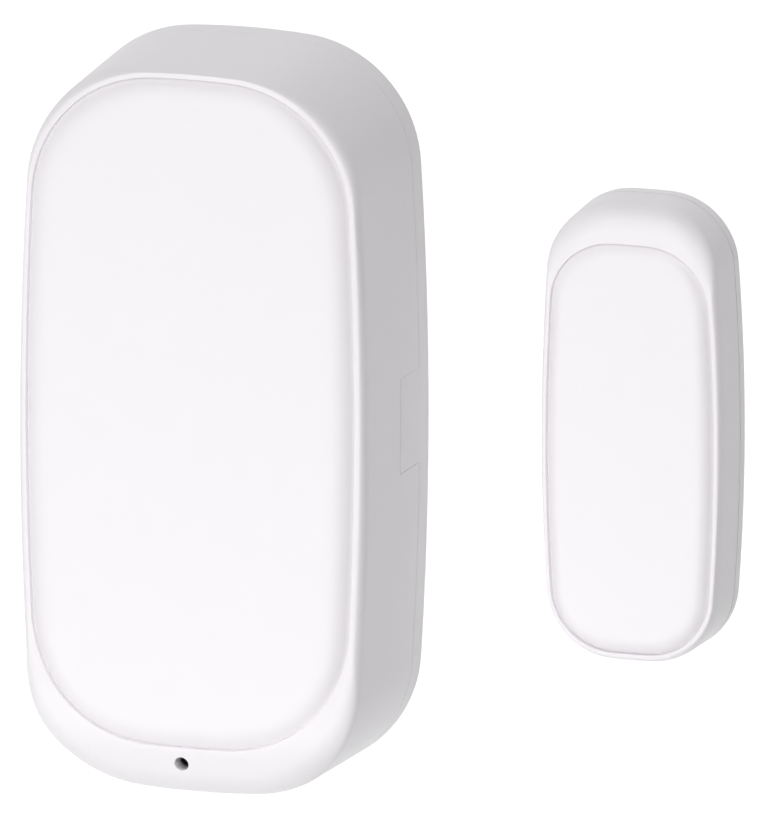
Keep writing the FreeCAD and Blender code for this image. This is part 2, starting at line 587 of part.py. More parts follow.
def block(name, across, up, near, width, height, depth):
    """A box, given its middle across and up, the depth of its rear face, and its three sizes."""
    box = doc.addObject("Part::Box", name)
    bind(box, Length=width, Width=depth, Height=height,
         Placement__Base__x=f"({across}) - ({width}) / 2",
         Placement__Base__y=f"-({BACK} + ({near}) + ({depth}))",
         Placement__Base__z=f"({up}) - ({height}) / 2")
    return box


def front_rod(name, across, up, near, radius, length):
    """A cylinder that points to the front, given the depth of its rear end."""
    rod = doc.addObject("Part::Cylinder", name)
    rod.Placement = Placement(Vector(0, 0, 0), Rotation(Vector(1, 0, 0), 90))
    bind(rod, Radius=radius, Height=length, Placement__Base__x=across,
         Placement__Base__y=f"-({BACK} + ({near}))", Placement__Base__z=up)
    return rod


def upright_rod(name, across, bottom, depth, radius, length):
    """A cylinder that stands upright, given its lower end and the depth of its middle."""
    rod = doc.addObject("Part::Cylinder", name)
    bind(rod, Radius=radius, Height=length, Placement__Base__x=across,
         Placement__Base__y=f"-({BACK} + ({depth}))", Placement__Base__z=bottom)
    return rod


def joined(name, shapes):
    """Several shapes fused into one piece."""
    fuse = doc.addObject("Part::MultiFuse", name)
    fuse.Shapes = shapes
    fuse.Refine = True
    return fuse


def cut_away(name, base, tools):
    """A piece with the tools' shapes cut out of it."""
    cut = doc.addObject("Part::Cut", name)
    cut.Base = base
    cut.Tool = tools[0] if len(tools) == 1 else joined(f"{name}_tools", tools)
    return cut


def grouped(name, shapes):
    """Like pieces kept as separate solids in one group."""
    group = doc.addObject("Part::Compound", name)
    group.Links = shapes
    return group


def circuit_board():
    """The board: it follows the housing's inner outline and has a hole for each screw."""
    body = new_body("circuit_board")
    outline = outline_at(body, "board_outline", "sensor", BOARD_FRONT,
                         "sizes.sensor_wall + sizes.board_gap")
    bind(outline, AttachmentOffset__Base__z=f"{BACK} + {BOARD_REAR}")
    pad(body, "board_plate", outline, "sizes.board_thickness")
    holes = new_sketch(body, "board_holes_circles", "XZ_Plane", f"{BACK} + {BOARD_REAR}")
    for across, up in screw_places():
        add_circle(holes, across, up, "sizes.screw_width / 2 + sizes.hole_gap")
    pocket(body, "board_holes", holes, "sizes.board_thickness", reverse=True)
    return body


def board_screws():
    """Four screws with crossed slots, their heads on the back of the board."""
    screws = []
    head_rear = f"{BOARD_REAR} - sizes.screw_head_depth"
    slot_width = "sizes.screw_width / 4"
    slot_length = "sizes.screw_head_width * 0.6"
    slot_depth = "sizes.screw_head_depth / 2"
    for place, (across, up) in enumerate(screw_places(), start=1):
        name = f"screw_{place}"
        head = front_rod(f"{name}_head", across, up, head_rear, "sizes.screw_head_width / 2",
                         "sizes.screw_head_depth")
        shank = front_rod(f"{name}_shank", across, up, BOARD_REAR, "sizes.screw_width / 2",
                          "sizes.screw_length")
        slots = [block(f"{name}_slot_across", across, up, head_rear, slot_length, slot_width, slot_depth),
                 block(f"{name}_slot_up", across, up, head_rear, slot_width, slot_length, slot_depth)]
        screws.append(cut_away(name, joined(f"{name}_blank", [head, shank]), slots))
    return grouped("board_screws", screws)


def battery_cradle():
    """The cradle on the back of the board: two troughs for the cells between two end walls."""
    width = "(sizes.cell_spacing + sizes.cell_width + 2 * sizes.cell_gap + 2 * sizes.cradle_wall)"
    height = f"({CRADLE_INSIDE} + 2 * sizes.cradle_end)"
    trough = block("cradle_block", "0", CRADLE_UP, CELL_DEPTH, width, height,
                   f"{BOARD_REAR} - {CELL_DEPTH}")
    ends = []
    for place, side in enumerate(("-", ""), start=1):
        middle = f"{CRADLE_UP} {side or '+'} ({CRADLE_INSIDE} + sizes.cradle_end) / 2"
        ends.append(block(f"cradle_end_{place}", "0", middle, f"{CELL_DEPTH} - sizes.contact_width / 2",
                          width, "sizes.cradle_end",
                          f"{BOARD_REAR} - {CELL_DEPTH} + sizes.contact_width / 2"))
    tools = [upright_rod(f"cradle_trough_{place}", f"{side}sizes.cell_spacing / 2", CRADLE_LOW, CELL_DEPTH,
                         "sizes.cell_width / 2 + sizes.cell_gap", CRADLE_INSIDE)
             for place, side in enumerate(("-", ""), start=1)]
    for place, side in enumerate(("-", ""), start=1):
        tools.append(block(f"cradle_leg_slot_{place}", f"{side}sizes.cell_spacing / 2",
                           f"{CRADLE_HIGH} - sizes.contact_thickness / 2 - sizes.hole_gap / 2", CELL_DEPTH,
                           "sizes.contact_leg_width + 2 * sizes.hole_gap",
                           "sizes.contact_thickness + sizes.hole_gap", f"{BOARD_REAR} - {CELL_DEPTH}"))
    return cut_away("battery_cradle", joined("cradle_blank", [trough] + ends), tools)


def battery_cell(side, across, stud_up):
    """An AAA cell: one sealed can with its contact stud."""
    name = f"battery_cell_{side}"
    can_length = "(sizes.cell_length - sizes.cell_stud_length)"
    if stud_up:
        can_low = f"{CRADLE_LOW} + sizes.contact_thickness + sizes.spring_length"
        stud_low = f"{can_low} + {can_length}"
    else:
        stud_low = f"{CRADLE_LOW} + sizes.contact_thickness"
        can_low = f"{stud_low} + sizes.cell_stud_length"
    can = upright_rod(f"{name}_can", across, can_low, CELL_DEPTH, "sizes.cell_width / 2", can_length)
    stud = upright_rod(f"{name}_stud", across, stud_low, CELL_DEPTH, "sizes.cell_stud_width / 2",
                       "sizes.cell_stud_length")
    return joined(name, [can, stud])


def contact_plate(name, across, up, with_leg):
    """A square contact plate across the end of a cell, with a leg to the board where it needs one."""
    plate = block(f"{name}_plate", across, up, f"{CELL_DEPTH} - sizes.contact_width / 2",
                  "sizes.contact_width", "sizes.contact_thickness", "sizes.contact_width")
    if not with_leg:
        return [plate]
    leg = block(f"{name}_leg", across, up, CELL_DEPTH, "sizes.contact_leg_width",
                "sizes.contact_thickness", f"{BOARD_REAR} - {CELL_DEPTH}")
    return [plate, leg]


def contact_spring(name, across, plate_face, upwards):
    """A conical spring that stands on a contact plate and touches the flat end of a cell."""
    wire = number("sizes.spring_wire")
    wide = number("sizes.spring_wide - sizes.spring_wire") / 2
    narrow = number("sizes.spring_narrow - sizes.spring_wire") / 2
    sunk = 0.2 * wire
    rise = number("sizes.spring_length") - wire / 2 - sunk
    path = Part.makeHelix(rise / number("sizes.spring_turns"), rise, wide,
                          math.degrees(math.atan2(narrow - wide, rise)))
    ring = Part.Wire(Part.makeCircle(wire / 2, Vector(wide, 0, 0), Vector(0, 1, 0)))
    coil = Part.Wire(path.Edges).makePipeShell([ring], True, True)
    spring = doc.addObject("Part::Feature", name)
    spring.Shape = coil
    turn = Rotation(Vector(1, 0, 0), 0 if upwards else 180)
    height = number(plate_face) + (sunk if upwards else -sunk)
    spring.Placement = Placement(Vector(number(across), -number(f"{BACK} + {CELL_DEPTH}"), height), turn)
    return spring


def contacts():
    """The three contacts of two cells in series: a plate, a plate with a spring, and the bridge."""
    left = "-sizes.cell_spacing / 2"
    right = "sizes.cell_spacing / 2"
    top = f"{CRADLE_HIGH} - sizes.contact_thickness / 2"
    low = f"{CRADLE_LOW} + sizes.contact_thickness / 2"
    positive = joined("positive_contact", contact_plate("positive", left, top, True))
    spring = contact_spring("negative_coil", right, f"{CRADLE_HIGH} - sizes.contact_thickness", False)
    negative = joined("negative_spring", contact_plate("negative", right, top, True) + [spring])
    coil = contact_spring("bridge_coil", left, f"{CRADLE_LOW} + sizes.contact_thickness", True)
    strap = block("bridge_strap", "0", low, f"{CELL_DEPTH} - sizes.contact_width / 2",
                  "sizes.cell_spacing", "sizes.contact_thickness",
                  "sizes.contact_width / 2 - sizes.hole_gap")
    plates = contact_plate("bridge_left", left, low, False) + contact_plate("bridge_right", right, low, False)
    bridge = joined("bridge_contact", plates + [strap, coil])
    return [positive, negative, bridge]


def radio_module():
    """The radio module's own board and the shield can over its chip."""
    up = f"({HEIGHT['sensor']} / 2 - sizes.module_end)"
    board = block("radio_module_board", "0", up, BOARD_FRONT,
                  "sizes.module_width", "sizes.module_height", "sizes.module_thickness")
    can = block("radio_shield_can", "0", f"{up} - sizes.can_down",
                f"{BOARD_FRONT} + sizes.module_thickness",
                "sizes.can_width", "sizes.can_height", "sizes.can_depth")
    return [board, can]


def reed_switch():
    """The reed switch: a sealed glass tube and two blades, each in one piece with its lead."""
    depth = f"({BOARD_REAR} - sizes.reed_lift - sizes.reed_width / 2)"
    half = "sizes.reed_length / 2"
    tube = upright_rod("reed_tube", REED_ACROSS, f"-{half}", depth, "sizes.reed_width / 2",
                       "sizes.reed_length")
    room = upright_rod("reed_room", REED_ACROSS, f"sizes.reed_end - {half}", depth,
                       "sizes.reed_width / 2 - sizes.reed_glass_wall",
                       "sizes.reed_length - 2 * sizes.reed_end")
    bore = upright_rod("reed_bore", REED_ACROSS, f"-{half}", depth, "sizes.reed_lead_width / 2",
                       "sizes.reed_length")
    pieces = [cut_away("reed_glass", tube, [room, bore])]
    straight = "(sizes.reed_end + sizes.reed_lead_run)"
    blade_length = "(sizes.reed_length / 2 - sizes.reed_end + sizes.reed_blade_overlap / 2)"
    for side, sign in (("upper", ""), ("lower", "-")):
        lead_low = f"{half} - sizes.reed_end" if side == "upper" else f"-{half} - sizes.reed_lead_run"
        lead = upright_rod(f"reed_{side}_lead", REED_ACROSS, lead_low, depth,
                           "sizes.reed_lead_width / 2", straight)
        corner = f"{sign}({half} + sizes.reed_lead_run)"
        leg = front_rod(f"reed_{side}_leg", REED_ACROSS, corner, depth,
                        "sizes.reed_lead_width / 2", "sizes.reed_lift + sizes.reed_width / 2")
        elbow = doc.addObject("Part::Sphere", f"reed_{side}_elbow")
        bind(elbow, Radius="sizes.reed_lead_width / 2", Placement__Base__x=REED_ACROSS,
             Placement__Base__y=f"-({BACK} + {depth})", Placement__Base__z=corner)
        middle = f"{sign}({half} - sizes.reed_end - {blade_length} / 2)"
        if side == "upper":
            near = f"{depth} - sizes.reed_blade_gap / 2 - sizes.reed_blade_thickness"
        else:
            near = f"{depth} + sizes.reed_blade_gap / 2"
        blade = block(f"reed_{side}_blade", REED_ACROSS, middle, near,
                      "sizes.reed_blade_width", blade_length, "sizes.reed_blade_thickness")
        pieces.append(joined(f"reed_blade_{side}", [lead, leg, elbow, blade]))
    return pieces


def reset_switch():
    """The reset switch behind the pin hole: its body, and the plunger that a pin presses."""
    front = f"({BOARD_FRONT} + sizes.switch_depth)"
    body = block("switch_block", "sizes.pin_hole_across", PIN_HOLE_UP, BOARD_FRONT,
                 "sizes.switch_width", "sizes.switch_height", "sizes.switch_depth")
    well_depth = "(sizes.plunger_seat + sizes.plunger_travel + sizes.plunger_gap)"
    well = front_rod("switch_well", "sizes.pin_hole_across", PIN_HOLE_UP, f"{front} - {well_depth}",
                     "sizes.plunger_width / 2 + sizes.plunger_gap", well_depth)
    housing = cut_away("reset_switch_body", body, [well])
    plunger = front_rod("reset_switch_plunger", "sizes.pin_hole_across", PIN_HOLE_UP,
                        f"{front} - sizes.plunger_seat", "sizes.plunger_width / 2",
                        "sizes.plunger_seat + sizes.plunger_reach")
    return [housing, plunger]


def small_parts():
    """The other parts on the board: the light, the regulator, the capacitor and the chip resistors."""
    half_high = f"{HEIGHT['sensor']} / 2"
    light = block("status_led", "sizes.pin_hole_across + sizes.led_across",
                  PIN_HOLE_UP, BOARD_FRONT,
                  "sizes.led_width", "sizes.led_height", "sizes.led_depth")
    regulator = block("voltage_regulator", "sizes.regulator_across",
                      f"sizes.regulator_end - {half_high}", BOARD_FRONT, "sizes.regulator_width", "sizes.regulator_height",
                      "sizes.regulator_depth")
    can = front_rod("capacitor_can", "0", f"sizes.capacitor_end - {half_high}",
                    f"{BOARD_REAR} - sizes.capacitor_length", "sizes.capacitor_width / 2",
                    "sizes.capacitor_length")
    base = block("capacitor_foot", "0", f"sizes.capacitor_end - {half_high}",
                 f"{BOARD_REAR} - sizes.capacitor_base",
                 "sizes.capacitor_width", "sizes.capacitor_width", "sizes.capacitor_base")
    capacitor = joined("bulk_capacitor", [can, base])
    chips = [block(f"chip_{place}", f"({place} - 3) * sizes.chip_spacing",
                   f"sizes.chip_end - {half_high}", BOARD_FRONT, "sizes.chip_length", "sizes.chip_width", "sizes.chip_depth")
             for place in range(1, 6)]
    return [light, regulator, capacitor, grouped("chip_resistors", chips)]


def bar_magnet():
    """The bar magnet, against the front wall of its housing."""
    near = f"{RIM['magnet']} - sizes.magnet_wall - sizes.bar_magnet_depth"
    return block("bar_magnet", "sizes.magnet_across", "sizes.magnet_up", near, "sizes.bar_magnet_width",
                 "sizes.bar_magnet_height", "sizes.bar_magnet_depth")


def place_magnet_unit(bodies):
    """Stand the magnet unit's mouldings beside the sensor, upside down, so their chin is at the top."""
    for body in bodies:
        body.Placement = Placement(Vector(0, 0, 0), Rotation(Vector(0, 1, 0), 180))
        bind(body, Placement__Base__x="sizes.magnet_across", Placement__Base__z="sizes.magnet_up")


sensor_housing = front_housing("sensor")
finish_sensor_housing(sensor_housing)
magnet_housing = front_housing("magnet")
finish_magnet_housing(magnet_housing)
magnet_cover = rear_cover("magnet", False)
finish_magnet_cover(magnet_cover)
magnet_pad = adhesive_pad("magnet")
place_magnet_unit([magnet_housing, magnet_cover, magnet_pad])

pieces = [sensor_housing, rear_cover("sensor", True), adhesive_pad("sensor"),
          circuit_board(), board_screws(), battery_cradle(),
          battery_cell("left", "-sizes.cell_spacing / 2", True),
          battery_cell("right", "sizes.cell_spacing / 2", False)]
pieces += contacts() + radio_module() + reed_switch() + reset_switch() + small_parts()
pieces += [magnet_housing, magnet_cover, bar_magnet(), magnet_pad]
doc.recompute()

for item in doc.Objects:
    if "Invalid" in item.State or "Error" in item.State:
        raise RuntimeError(f"{item.Name} did not compute: {item.State}")
for piece in pieces:
    piece.Label = piece.Name
    if piece.Shape.isNull() or not piece.Shape.isValid():
        raise RuntimeError(f"{piece.Name} has no valid shape")
    piece.Shape.exportStep(f"parts/{piece.Name}.step")
    print(f"{piece.Name}: {len(piece.Shape.Solids)} solid, {piece.Shape.Volume:.2f} cubic mm")
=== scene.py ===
# %% [markdown]
# A door and window sensor. Two glossy white mouldings stand side by side: the sensor unit with its
# cells and radio, and the small magnet unit that the sensor feels. This notebook dresses the exact
# parts of the frame: it adds light and a camera, gives every part a finish, and models the visible
# shells again with soft edges, because the exact parts are made of flat facets that a glossy shell
# would show.

# %% Load the frame
import json
import math

import bmesh
import bpy
from mathutils import Matrix, Vector


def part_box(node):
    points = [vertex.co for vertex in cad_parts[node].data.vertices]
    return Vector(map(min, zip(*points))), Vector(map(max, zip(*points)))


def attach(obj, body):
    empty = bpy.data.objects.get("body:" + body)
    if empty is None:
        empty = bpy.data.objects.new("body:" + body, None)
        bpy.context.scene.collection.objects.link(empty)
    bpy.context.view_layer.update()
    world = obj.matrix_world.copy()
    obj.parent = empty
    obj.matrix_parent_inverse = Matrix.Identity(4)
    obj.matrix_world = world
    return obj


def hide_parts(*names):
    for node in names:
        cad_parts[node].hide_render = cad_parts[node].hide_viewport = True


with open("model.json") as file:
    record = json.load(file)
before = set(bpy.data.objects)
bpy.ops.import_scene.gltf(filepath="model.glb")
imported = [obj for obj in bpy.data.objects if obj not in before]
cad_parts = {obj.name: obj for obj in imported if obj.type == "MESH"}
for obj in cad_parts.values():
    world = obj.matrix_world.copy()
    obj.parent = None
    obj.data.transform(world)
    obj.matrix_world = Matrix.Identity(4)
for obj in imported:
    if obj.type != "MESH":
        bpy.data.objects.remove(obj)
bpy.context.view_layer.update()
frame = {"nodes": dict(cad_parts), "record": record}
nodes = frame["nodes"]
MM = 0.001


# %% [markdown]
# The camera. The two units look the same size from end to end, so the picture was taken from far
# away with a long lens. An orthographic camera gives that view exactly. It looks from the right and a
# little from above, and the height that it sees is the picture's height over the pixels in a
# millimetre.

# %% Camera
AZIMUTH = math.radians(18.34)
ELEVATION = math.radians(14.02)
PICTURE_HIGH = 818
PIXELS_PER_MM = 10.832
AIM_RIGHT = 12.12 * MM
AIM_UP = -1.61 * MM
CAMERA_AWAY = 0.6

view_right = Vector((math.cos(AZIMUTH), math.sin(AZIMUTH), 0))
view_ahead = Vector((-math.sin(AZIMUTH) * math.cos(ELEVATION), math.cos(AZIMUTH) * math.cos(ELEVATION),
                     -math.sin(ELEVATION)))
view_up = view_right.cross(view_ahead)
aim = view_right * AIM_RIGHT + view_up * AIM_UP

camera_data = bpy.data.cameras.new("camera")
camera_data.type = "ORTHO"
camera_data.ortho_scale = PICTURE_HIGH / PIXELS_PER_MM * MM
camera_data.clip_start = 0.01
camera_data.clip_end = 20
camera = bpy.data.objects.new("camera", camera_data)
bpy.context.collection.objects.link(camera)
camera.location = aim - view_ahead * CAMERA_AWAY
camera.rotation_euler = view_ahead.to_track_quat("-Z", "Y").to_euler()
bpy.context.scene.camera = camera
print("picture height", round(camera_data.ortho_scale, 4), "m")


# %% [markdown]
# Colours and nodes. A hex value is what a screen shows, so it is turned to the linear value that
# light is added up in. One function adds a node with its settings and its links.

# %% Colour and node helpers
def linear(hex_colour):
    """The linear colour of an sRGB hex value."""
    channels = [int(hex_colour[place:place + 2], 16) / 255 for place in (1, 3, 5)]
    return tuple(c / 12.92 if c <= 0.04045 else ((c + 0.055) / 1.055) ** 2.4 for c in channels) + (1,)


def add_node(tree, kind, settings=(), **links):
    """Add a node; settings are its properties or input values, links are sockets that feed it."""
    node = tree.nodes.new(kind)
    for name, value in dict(settings).items():
        if hasattr(node, name):
            setattr(node, name, value)
        else:
            node.inputs[name].default_value = value
    for name, socket in links.items():
        tree.links.new(socket, node.inputs[name.replace("_", " ")])
    return node


# %% [markdown]
# Light. In the picture the front is nearly white, the top and the chin are a little darker and the
# right side is darker still, with no hard shadow. Small lamps would each leave a streak on glossy
# plastic, so the light is wide: a sky that is bright behind the object and dim ahead of it, a broad
# sun from above the camera, a narrower one from the front and a little from the left, and a faint
# one from above and behind. A low lamp in front lights the chin and the undersides. The floor lies
# well below, and to the camera, and in mirrors and glass, it and the sky are both white.

# %% Sky
# The sky's strength behind and ahead of the object, and between which directions in Y it changes.
SKY_BEHIND = 0.61
SKY_AHEAD = 0.06
SKY_TURN = (-0.15, 0.45)


def seen_plainly(tree):
    """A factor that is 1 for camera, mirror and glass rays, and 0 for the light that is added up."""
    rays = add_node(tree, "ShaderNodeLightPath")
    first = add_node(tree, "ShaderNodeMath", {"operation": "MAXIMUM"})
    tree.links.new(rays.outputs["Is Camera Ray"], first.inputs[0])
    tree.links.new(rays.outputs["Is Transmission Ray"], first.inputs[1])
    seen = add_node(tree, "ShaderNodeMath", {"operation": "MAXIMUM"})
    tree.links.new(rays.outputs["Is Glossy Ray"], seen.inputs[0])
    tree.links.new(first.outputs[0], seen.inputs[1])
    return seen.outputs[0]


scene = bpy.context.scene
scene.view_settings.view_transform = "Standard"
world = bpy.data.worlds.new("soft_sky")
scene.world = world
world.use_nodes = True
sky = world.node_tree
sky.nodes.clear()
way = add_node(sky, "ShaderNodeTexCoord")
parts = add_node(sky, "ShaderNodeSeparateXYZ", Vector=way.outputs["Generated"])
level = add_node(sky, "ShaderNodeMapRange", {
    "interpolation_type": "SMOOTHSTEP", "From Min": SKY_TURN[0], "From Max": SKY_TURN[1],
    "To Min": SKY_AHEAD, "To Max": SKY_BEHIND}, Value=parts.outputs["Y"])
lighting = add_node(sky, "ShaderNodeBackground", {"Color": linear("#FFFFFF")},
                    Strength=level.outputs["Result"])
backdrop = add_node(sky, "ShaderNodeBackground", {"Color": linear("#FFFFFF"), "Strength": 1.0})
choice = add_node(sky, "ShaderNodeMixShader")
sky.links.new(seen_plainly(sky), choice.inputs[0])
sky.links.new(lighting.outputs[0], choice.inputs[1])
sky.links.new(backdrop.outputs[0], choice.inputs[2])
world_out = add_node(sky, "ShaderNodeOutputWorld")
sky.links.new(choice.outputs[0], world_out.inputs["Surface"])
print("sky", len(sky.nodes), "nodes")

# %% Suns and lamp
# A sun has a strength, a width in degrees, and the direction that its light comes from.
SUNS = {
    "key": (0.55, 30, (-0.18, -1.0, 0.16)),
    "upper": (1.36, 50, (0.0, -0.70, 0.71)),
    "top_behind": (0.12, 40, (-0.20, 0.60, 0.75)),
}
# A lamp has a power in watts, a width and a height in metres, and a place. It faces the frame's zero.
LAMPS = {
    "low_front": (0.54, 0.5, 0.12, (-0.10, -0.40, -0.18)),
}

for name, (power, spread, direction) in SUNS.items():
    sun_data = bpy.data.lights.new(name, "SUN")
    sun_data.energy = power
    sun_data.angle = math.radians(spread)
    sun = bpy.data.objects.new(name, sun_data)
    bpy.context.collection.objects.link(sun)
    sun.rotation_euler = Vector(direction).to_track_quat("Z", "Y").to_euler()

for name, (power, wide, tall, place) in LAMPS.items():
    lamp_data = bpy.data.lights.new(name, "AREA")
    lamp_data.shape = "RECTANGLE"
    lamp_data.energy = power
    lamp_data.size = wide
    lamp_data.size_y = tall
    lamp = bpy.data.objects.new(name, lamp_data)
    bpy.context.collection.objects.link(lamp)
    lamp.location = place
    lamp.rotation_euler = Vector(place).to_track_quat("Z", "Y").to_euler()
print("suns", len(SUNS), "and lamps", len(LAMPS))

# %% Floor
# The glow brings the lit floor up to white for the camera, and adds no light to the object.
FLOOR_DROP = 0.25
FLOOR_SIZE = 8.0
FLOOR_GLOW = 0.56

floor_paint = bpy.data.materials.new("pale_floor")
floor_paint.use_nodes = True
tree = floor_paint.node_tree
tree.nodes.clear()
matte = add_node(tree, "ShaderNodeBsdfDiffuse", {"Color": linear("#F4F4F4")})
glow = add_node(tree, "ShaderNodeEmission", {"Color": linear("#FFFFFF"), "Strength": FLOOR_GLOW})
both = add_node(tree, "ShaderNodeAddShader")
tree.links.new(matte.outputs[0], both.inputs[0])
tree.links.new(glow.outputs[0], both.inputs[1])
pick = add_node(tree, "ShaderNodeMixShader")
tree.links.new(seen_plainly(tree), pick.inputs[0])
tree.links.new(matte.outputs[0], pick.inputs[1])
tree.links.new(both.outputs[0], pick.inputs[2])
out = add_node(tree, "ShaderNodeOutputMaterial")
tree.links.new(pick.outputs[0], out.inputs["Surface"])
bpy.ops.object.select_all(action="DESELECT")
bpy.ops.mesh.primitive_plane_add(size=FLOOR_SIZE, location=(0, 0, -FLOOR_DROP))
floor = bpy.context.object
floor.name = "floor"
floor.data.materials.append(floor_paint)
print("floor", FLOOR_SIZE, "m wide")


# %% [markdown]
# Finishes. A finish could be one flat colour, but real plastic and metal are never perfectly even. So
# each finish is a Principled shader whose bump, gloss and, where it needs it, colour follow a noise
# that is sized in millimetres. The noise reads Object coordinates, so it stays put on the piece.

# %% Finish helpers
# The share by which gloss varies with the grain, and how many grains wide a cloud of colour is.
GLOSS_SWING = 0.15
CLOUD_GRAINS = 12


def finish(name, colour, roughness, metal=0.0, grain_mm=0.4, bump=0.02, tint=0.0, **extra):
    """A material with a fine grain: the grain bends the surface, and varies its gloss and colour."""
    material = bpy.data.materials.new(name)
    material.use_nodes = True
    tree = material.node_tree
    tree.nodes.clear()
    shader = add_node(tree, "ShaderNodeBsdfPrincipled", {
        "Base Color": linear(colour), "Metallic": metal, "Roughness": roughness, **extra})
    place = add_node(tree, "ShaderNodeTexCoord")
    grain = add_node(tree, "ShaderNodeTexNoise", {"Scale": 1 / (grain_mm * MM), "Detail": 3.0},
                     Vector=place.outputs["Object"])
    relief = add_node(tree, "ShaderNodeBump", {"Strength": 1.0, "Distance": bump * MM},
                      Height=grain.outputs["Fac"])
    tree.links.new(relief.outputs["Normal"], shader.inputs["Normal"])
    gloss = add_node(tree, "ShaderNodeMapRange", {
        "To Min": roughness * (1 - GLOSS_SWING), "To Max": roughness * (1 + GLOSS_SWING)},
        Value=grain.outputs["Fac"])
    tree.links.new(gloss.outputs["Result"], shader.inputs["Roughness"])
    if tint:
        cloud = add_node(tree, "ShaderNodeTexNoise", {
            "Scale": 1 / (grain_mm * CLOUD_GRAINS * MM), "Detail": 2.0}, Vector=place.outputs["Object"])
        shade = add_node(tree, "ShaderNodeValToRGB", Fac=cloud.outputs["Fac"])
        base = linear(colour)
        shade.color_ramp.elements[0].color = tuple(c * (1 - tint) for c in base[:3]) + (1,)
        shade.color_ramp.elements[1].color = base
        tree.links.new(shade.outputs["Color"], shader.inputs["Base Color"])
    out = add_node(tree, "ShaderNodeOutputMaterial")
    tree.links.new(shader.outputs["BSDF"], out.inputs["Surface"])
    return material


def second_colour(material, colour, coordinate, axis, start, end):
    """Mix in another colour where a coordinate along an axis passes from start to end.

    A normal counts the same whether it points up or down the axis.
    """
    tree = material.node_tree
    shader = next(node for node in tree.nodes if node.type == "BSDF_PRINCIPLED")
    place = next(node for node in tree.nodes if node.type == "TEX_COORD")
    first = shader.inputs["Base Color"].links[0].from_socket
    part = add_node(tree, "ShaderNodeSeparateXYZ", Vector=place.outputs[coordinate]).outputs[axis]
    if coordinate == "Normal":
        size = add_node(tree, "ShaderNodeMath", {"operation": "ABSOLUTE"})
        tree.links.new(part, size.inputs[0])
        part = size.outputs[0]
    share = add_node(tree, "ShaderNodeMapRange", {"From Min": start, "From Max": end}, Value=part)
    mix = add_node(tree, "ShaderNodeMix", {"data_type": "RGBA"})
    tree.links.new(share.outputs["Result"], mix.inputs["Factor"])
    tree.links.new(first, mix.inputs[6])
    mix.inputs[7].default_value = linear(colour)
    tree.links.new(mix.outputs[2], shader.inputs["Base Color"])
    return material


# %% [markdown]
# The white of the cases. They are ABS, moulded against polished steel. That gives the eye a clean,
# cool white with a soft sheen: lamps show as blurred streaks, never as sharp pictures. The skin has a
# very slight waviness a quarter of a millimetre wide, and its white drifts by about one percent.

# %% White ABS
finishes = {}
finishes["case_abs"] = finish("moulded_white_abs", "#F2EFF2", 0.36, grain_mm=0.25, bump=0.0006,
                              tint=0.012, IOR=1.53)
print("case finish", finishes["case_abs"].name)

# %% [markdown]
# Black plastics, tape and film. The cradle is black ABS moulded in a spark-eroded tool: a dull black
# with a fine pebble grain. The plunger is acetal, a little waxier. The tape is closed-cell
# polyethylene foam: chalky, with cells that show as pits 0.3 mm wide. The cells' film is printed PVC:
# a smooth slate blue that shines like wet paint, with a copper-coloured end at the positive pole.

# %% Plastics, foam and film
FILM = {"colour": "#2B3947", "roughness": 0.24, "grain_mm": 0.6, "bump": 0.003, "tint": 0.05}
FILM_COPPER = "#B5713C"
# Where the slate ends and the copper begins, in millimetres up. The right cell is upside down.
COPPER_FROM = {"left": (14.0, 14.1), "right": (-11.9, -12.0)}

finishes["cradle_plastic"] = finish("eroded_black_abs", "#26272A", 0.45, grain_mm=0.2, bump=0.01, tint=0.1)
finishes["plunger_plastic"] = finish("moulded_black_acetal", "#1C1C1E", 0.38, grain_mm=0.2, bump=0.004,
                                     tint=0.1)
finishes["pad_foam"] = finish("closed_cell_foam_tape", "#DADAD6", 0.9, grain_mm=0.3, bump=0.08, tint=0.08)
finishes["cell_sleeve"] = finish("printed_pvc_film", **FILM)
films = {}
for side, (start, end) in COPPER_FROM.items():
    film = finish("printed_pvc_film_" + side, **FILM)
    films[side] = second_colour(film, FILM_COPPER, "Object", "Z", start * MM, end * MM)
print("films", list(films))

# %% [markdown]
# The boards. Glass-fibre laminate is pale yellow-brown, and it shows that colour at its cut edges
# only, because both faces are coated with solder mask: a lacquer, glossy and slightly rippled by the
# weave under it, green on the main board and blue on the radio's. Over copper the green is lighter.

# %% Boards
MASK = {"roughness": 0.30, "grain_mm": 0.5, "bump": 0.006, "tint": 0.2}
CUT_EDGE = "#A9A06C"
# A face is a cut edge where its normal has less than this much of the board's own in it.
EDGE_NORMAL = (0.72, 0.70)

finishes["board_laminate"] = finish("green_mask_laminate", "#1B5E37", **MASK)
finishes["module_laminate"] = finish("blue_mask_laminate", "#1C3A6E", **MASK)
copper_mask = finish("green_mask_on_copper", "#3B8752", 0.28, grain_mm=0.5, bump=0.004, tint=0.1)
for laminate in ("board_laminate", "module_laminate"):
    second_colour(finishes[laminate], CUT_EDGE, "Normal", "Y", *EDGE_NORMAL)
print("mask over copper", copper_mask.name)

# %% [markdown]
# The metals. What they share is that they take their colour from their reflections, and they differ in
# how sharp those are. Nickel plate on the contacts is warm and fairly sharp, tin on the radio's shield
# is whiter and softer, zinc on the screws is bluish, and drawn aluminium is pale with a soft shine.
# The magnet is nickel plated after tumbling, so it is bright with a faint orange peel.

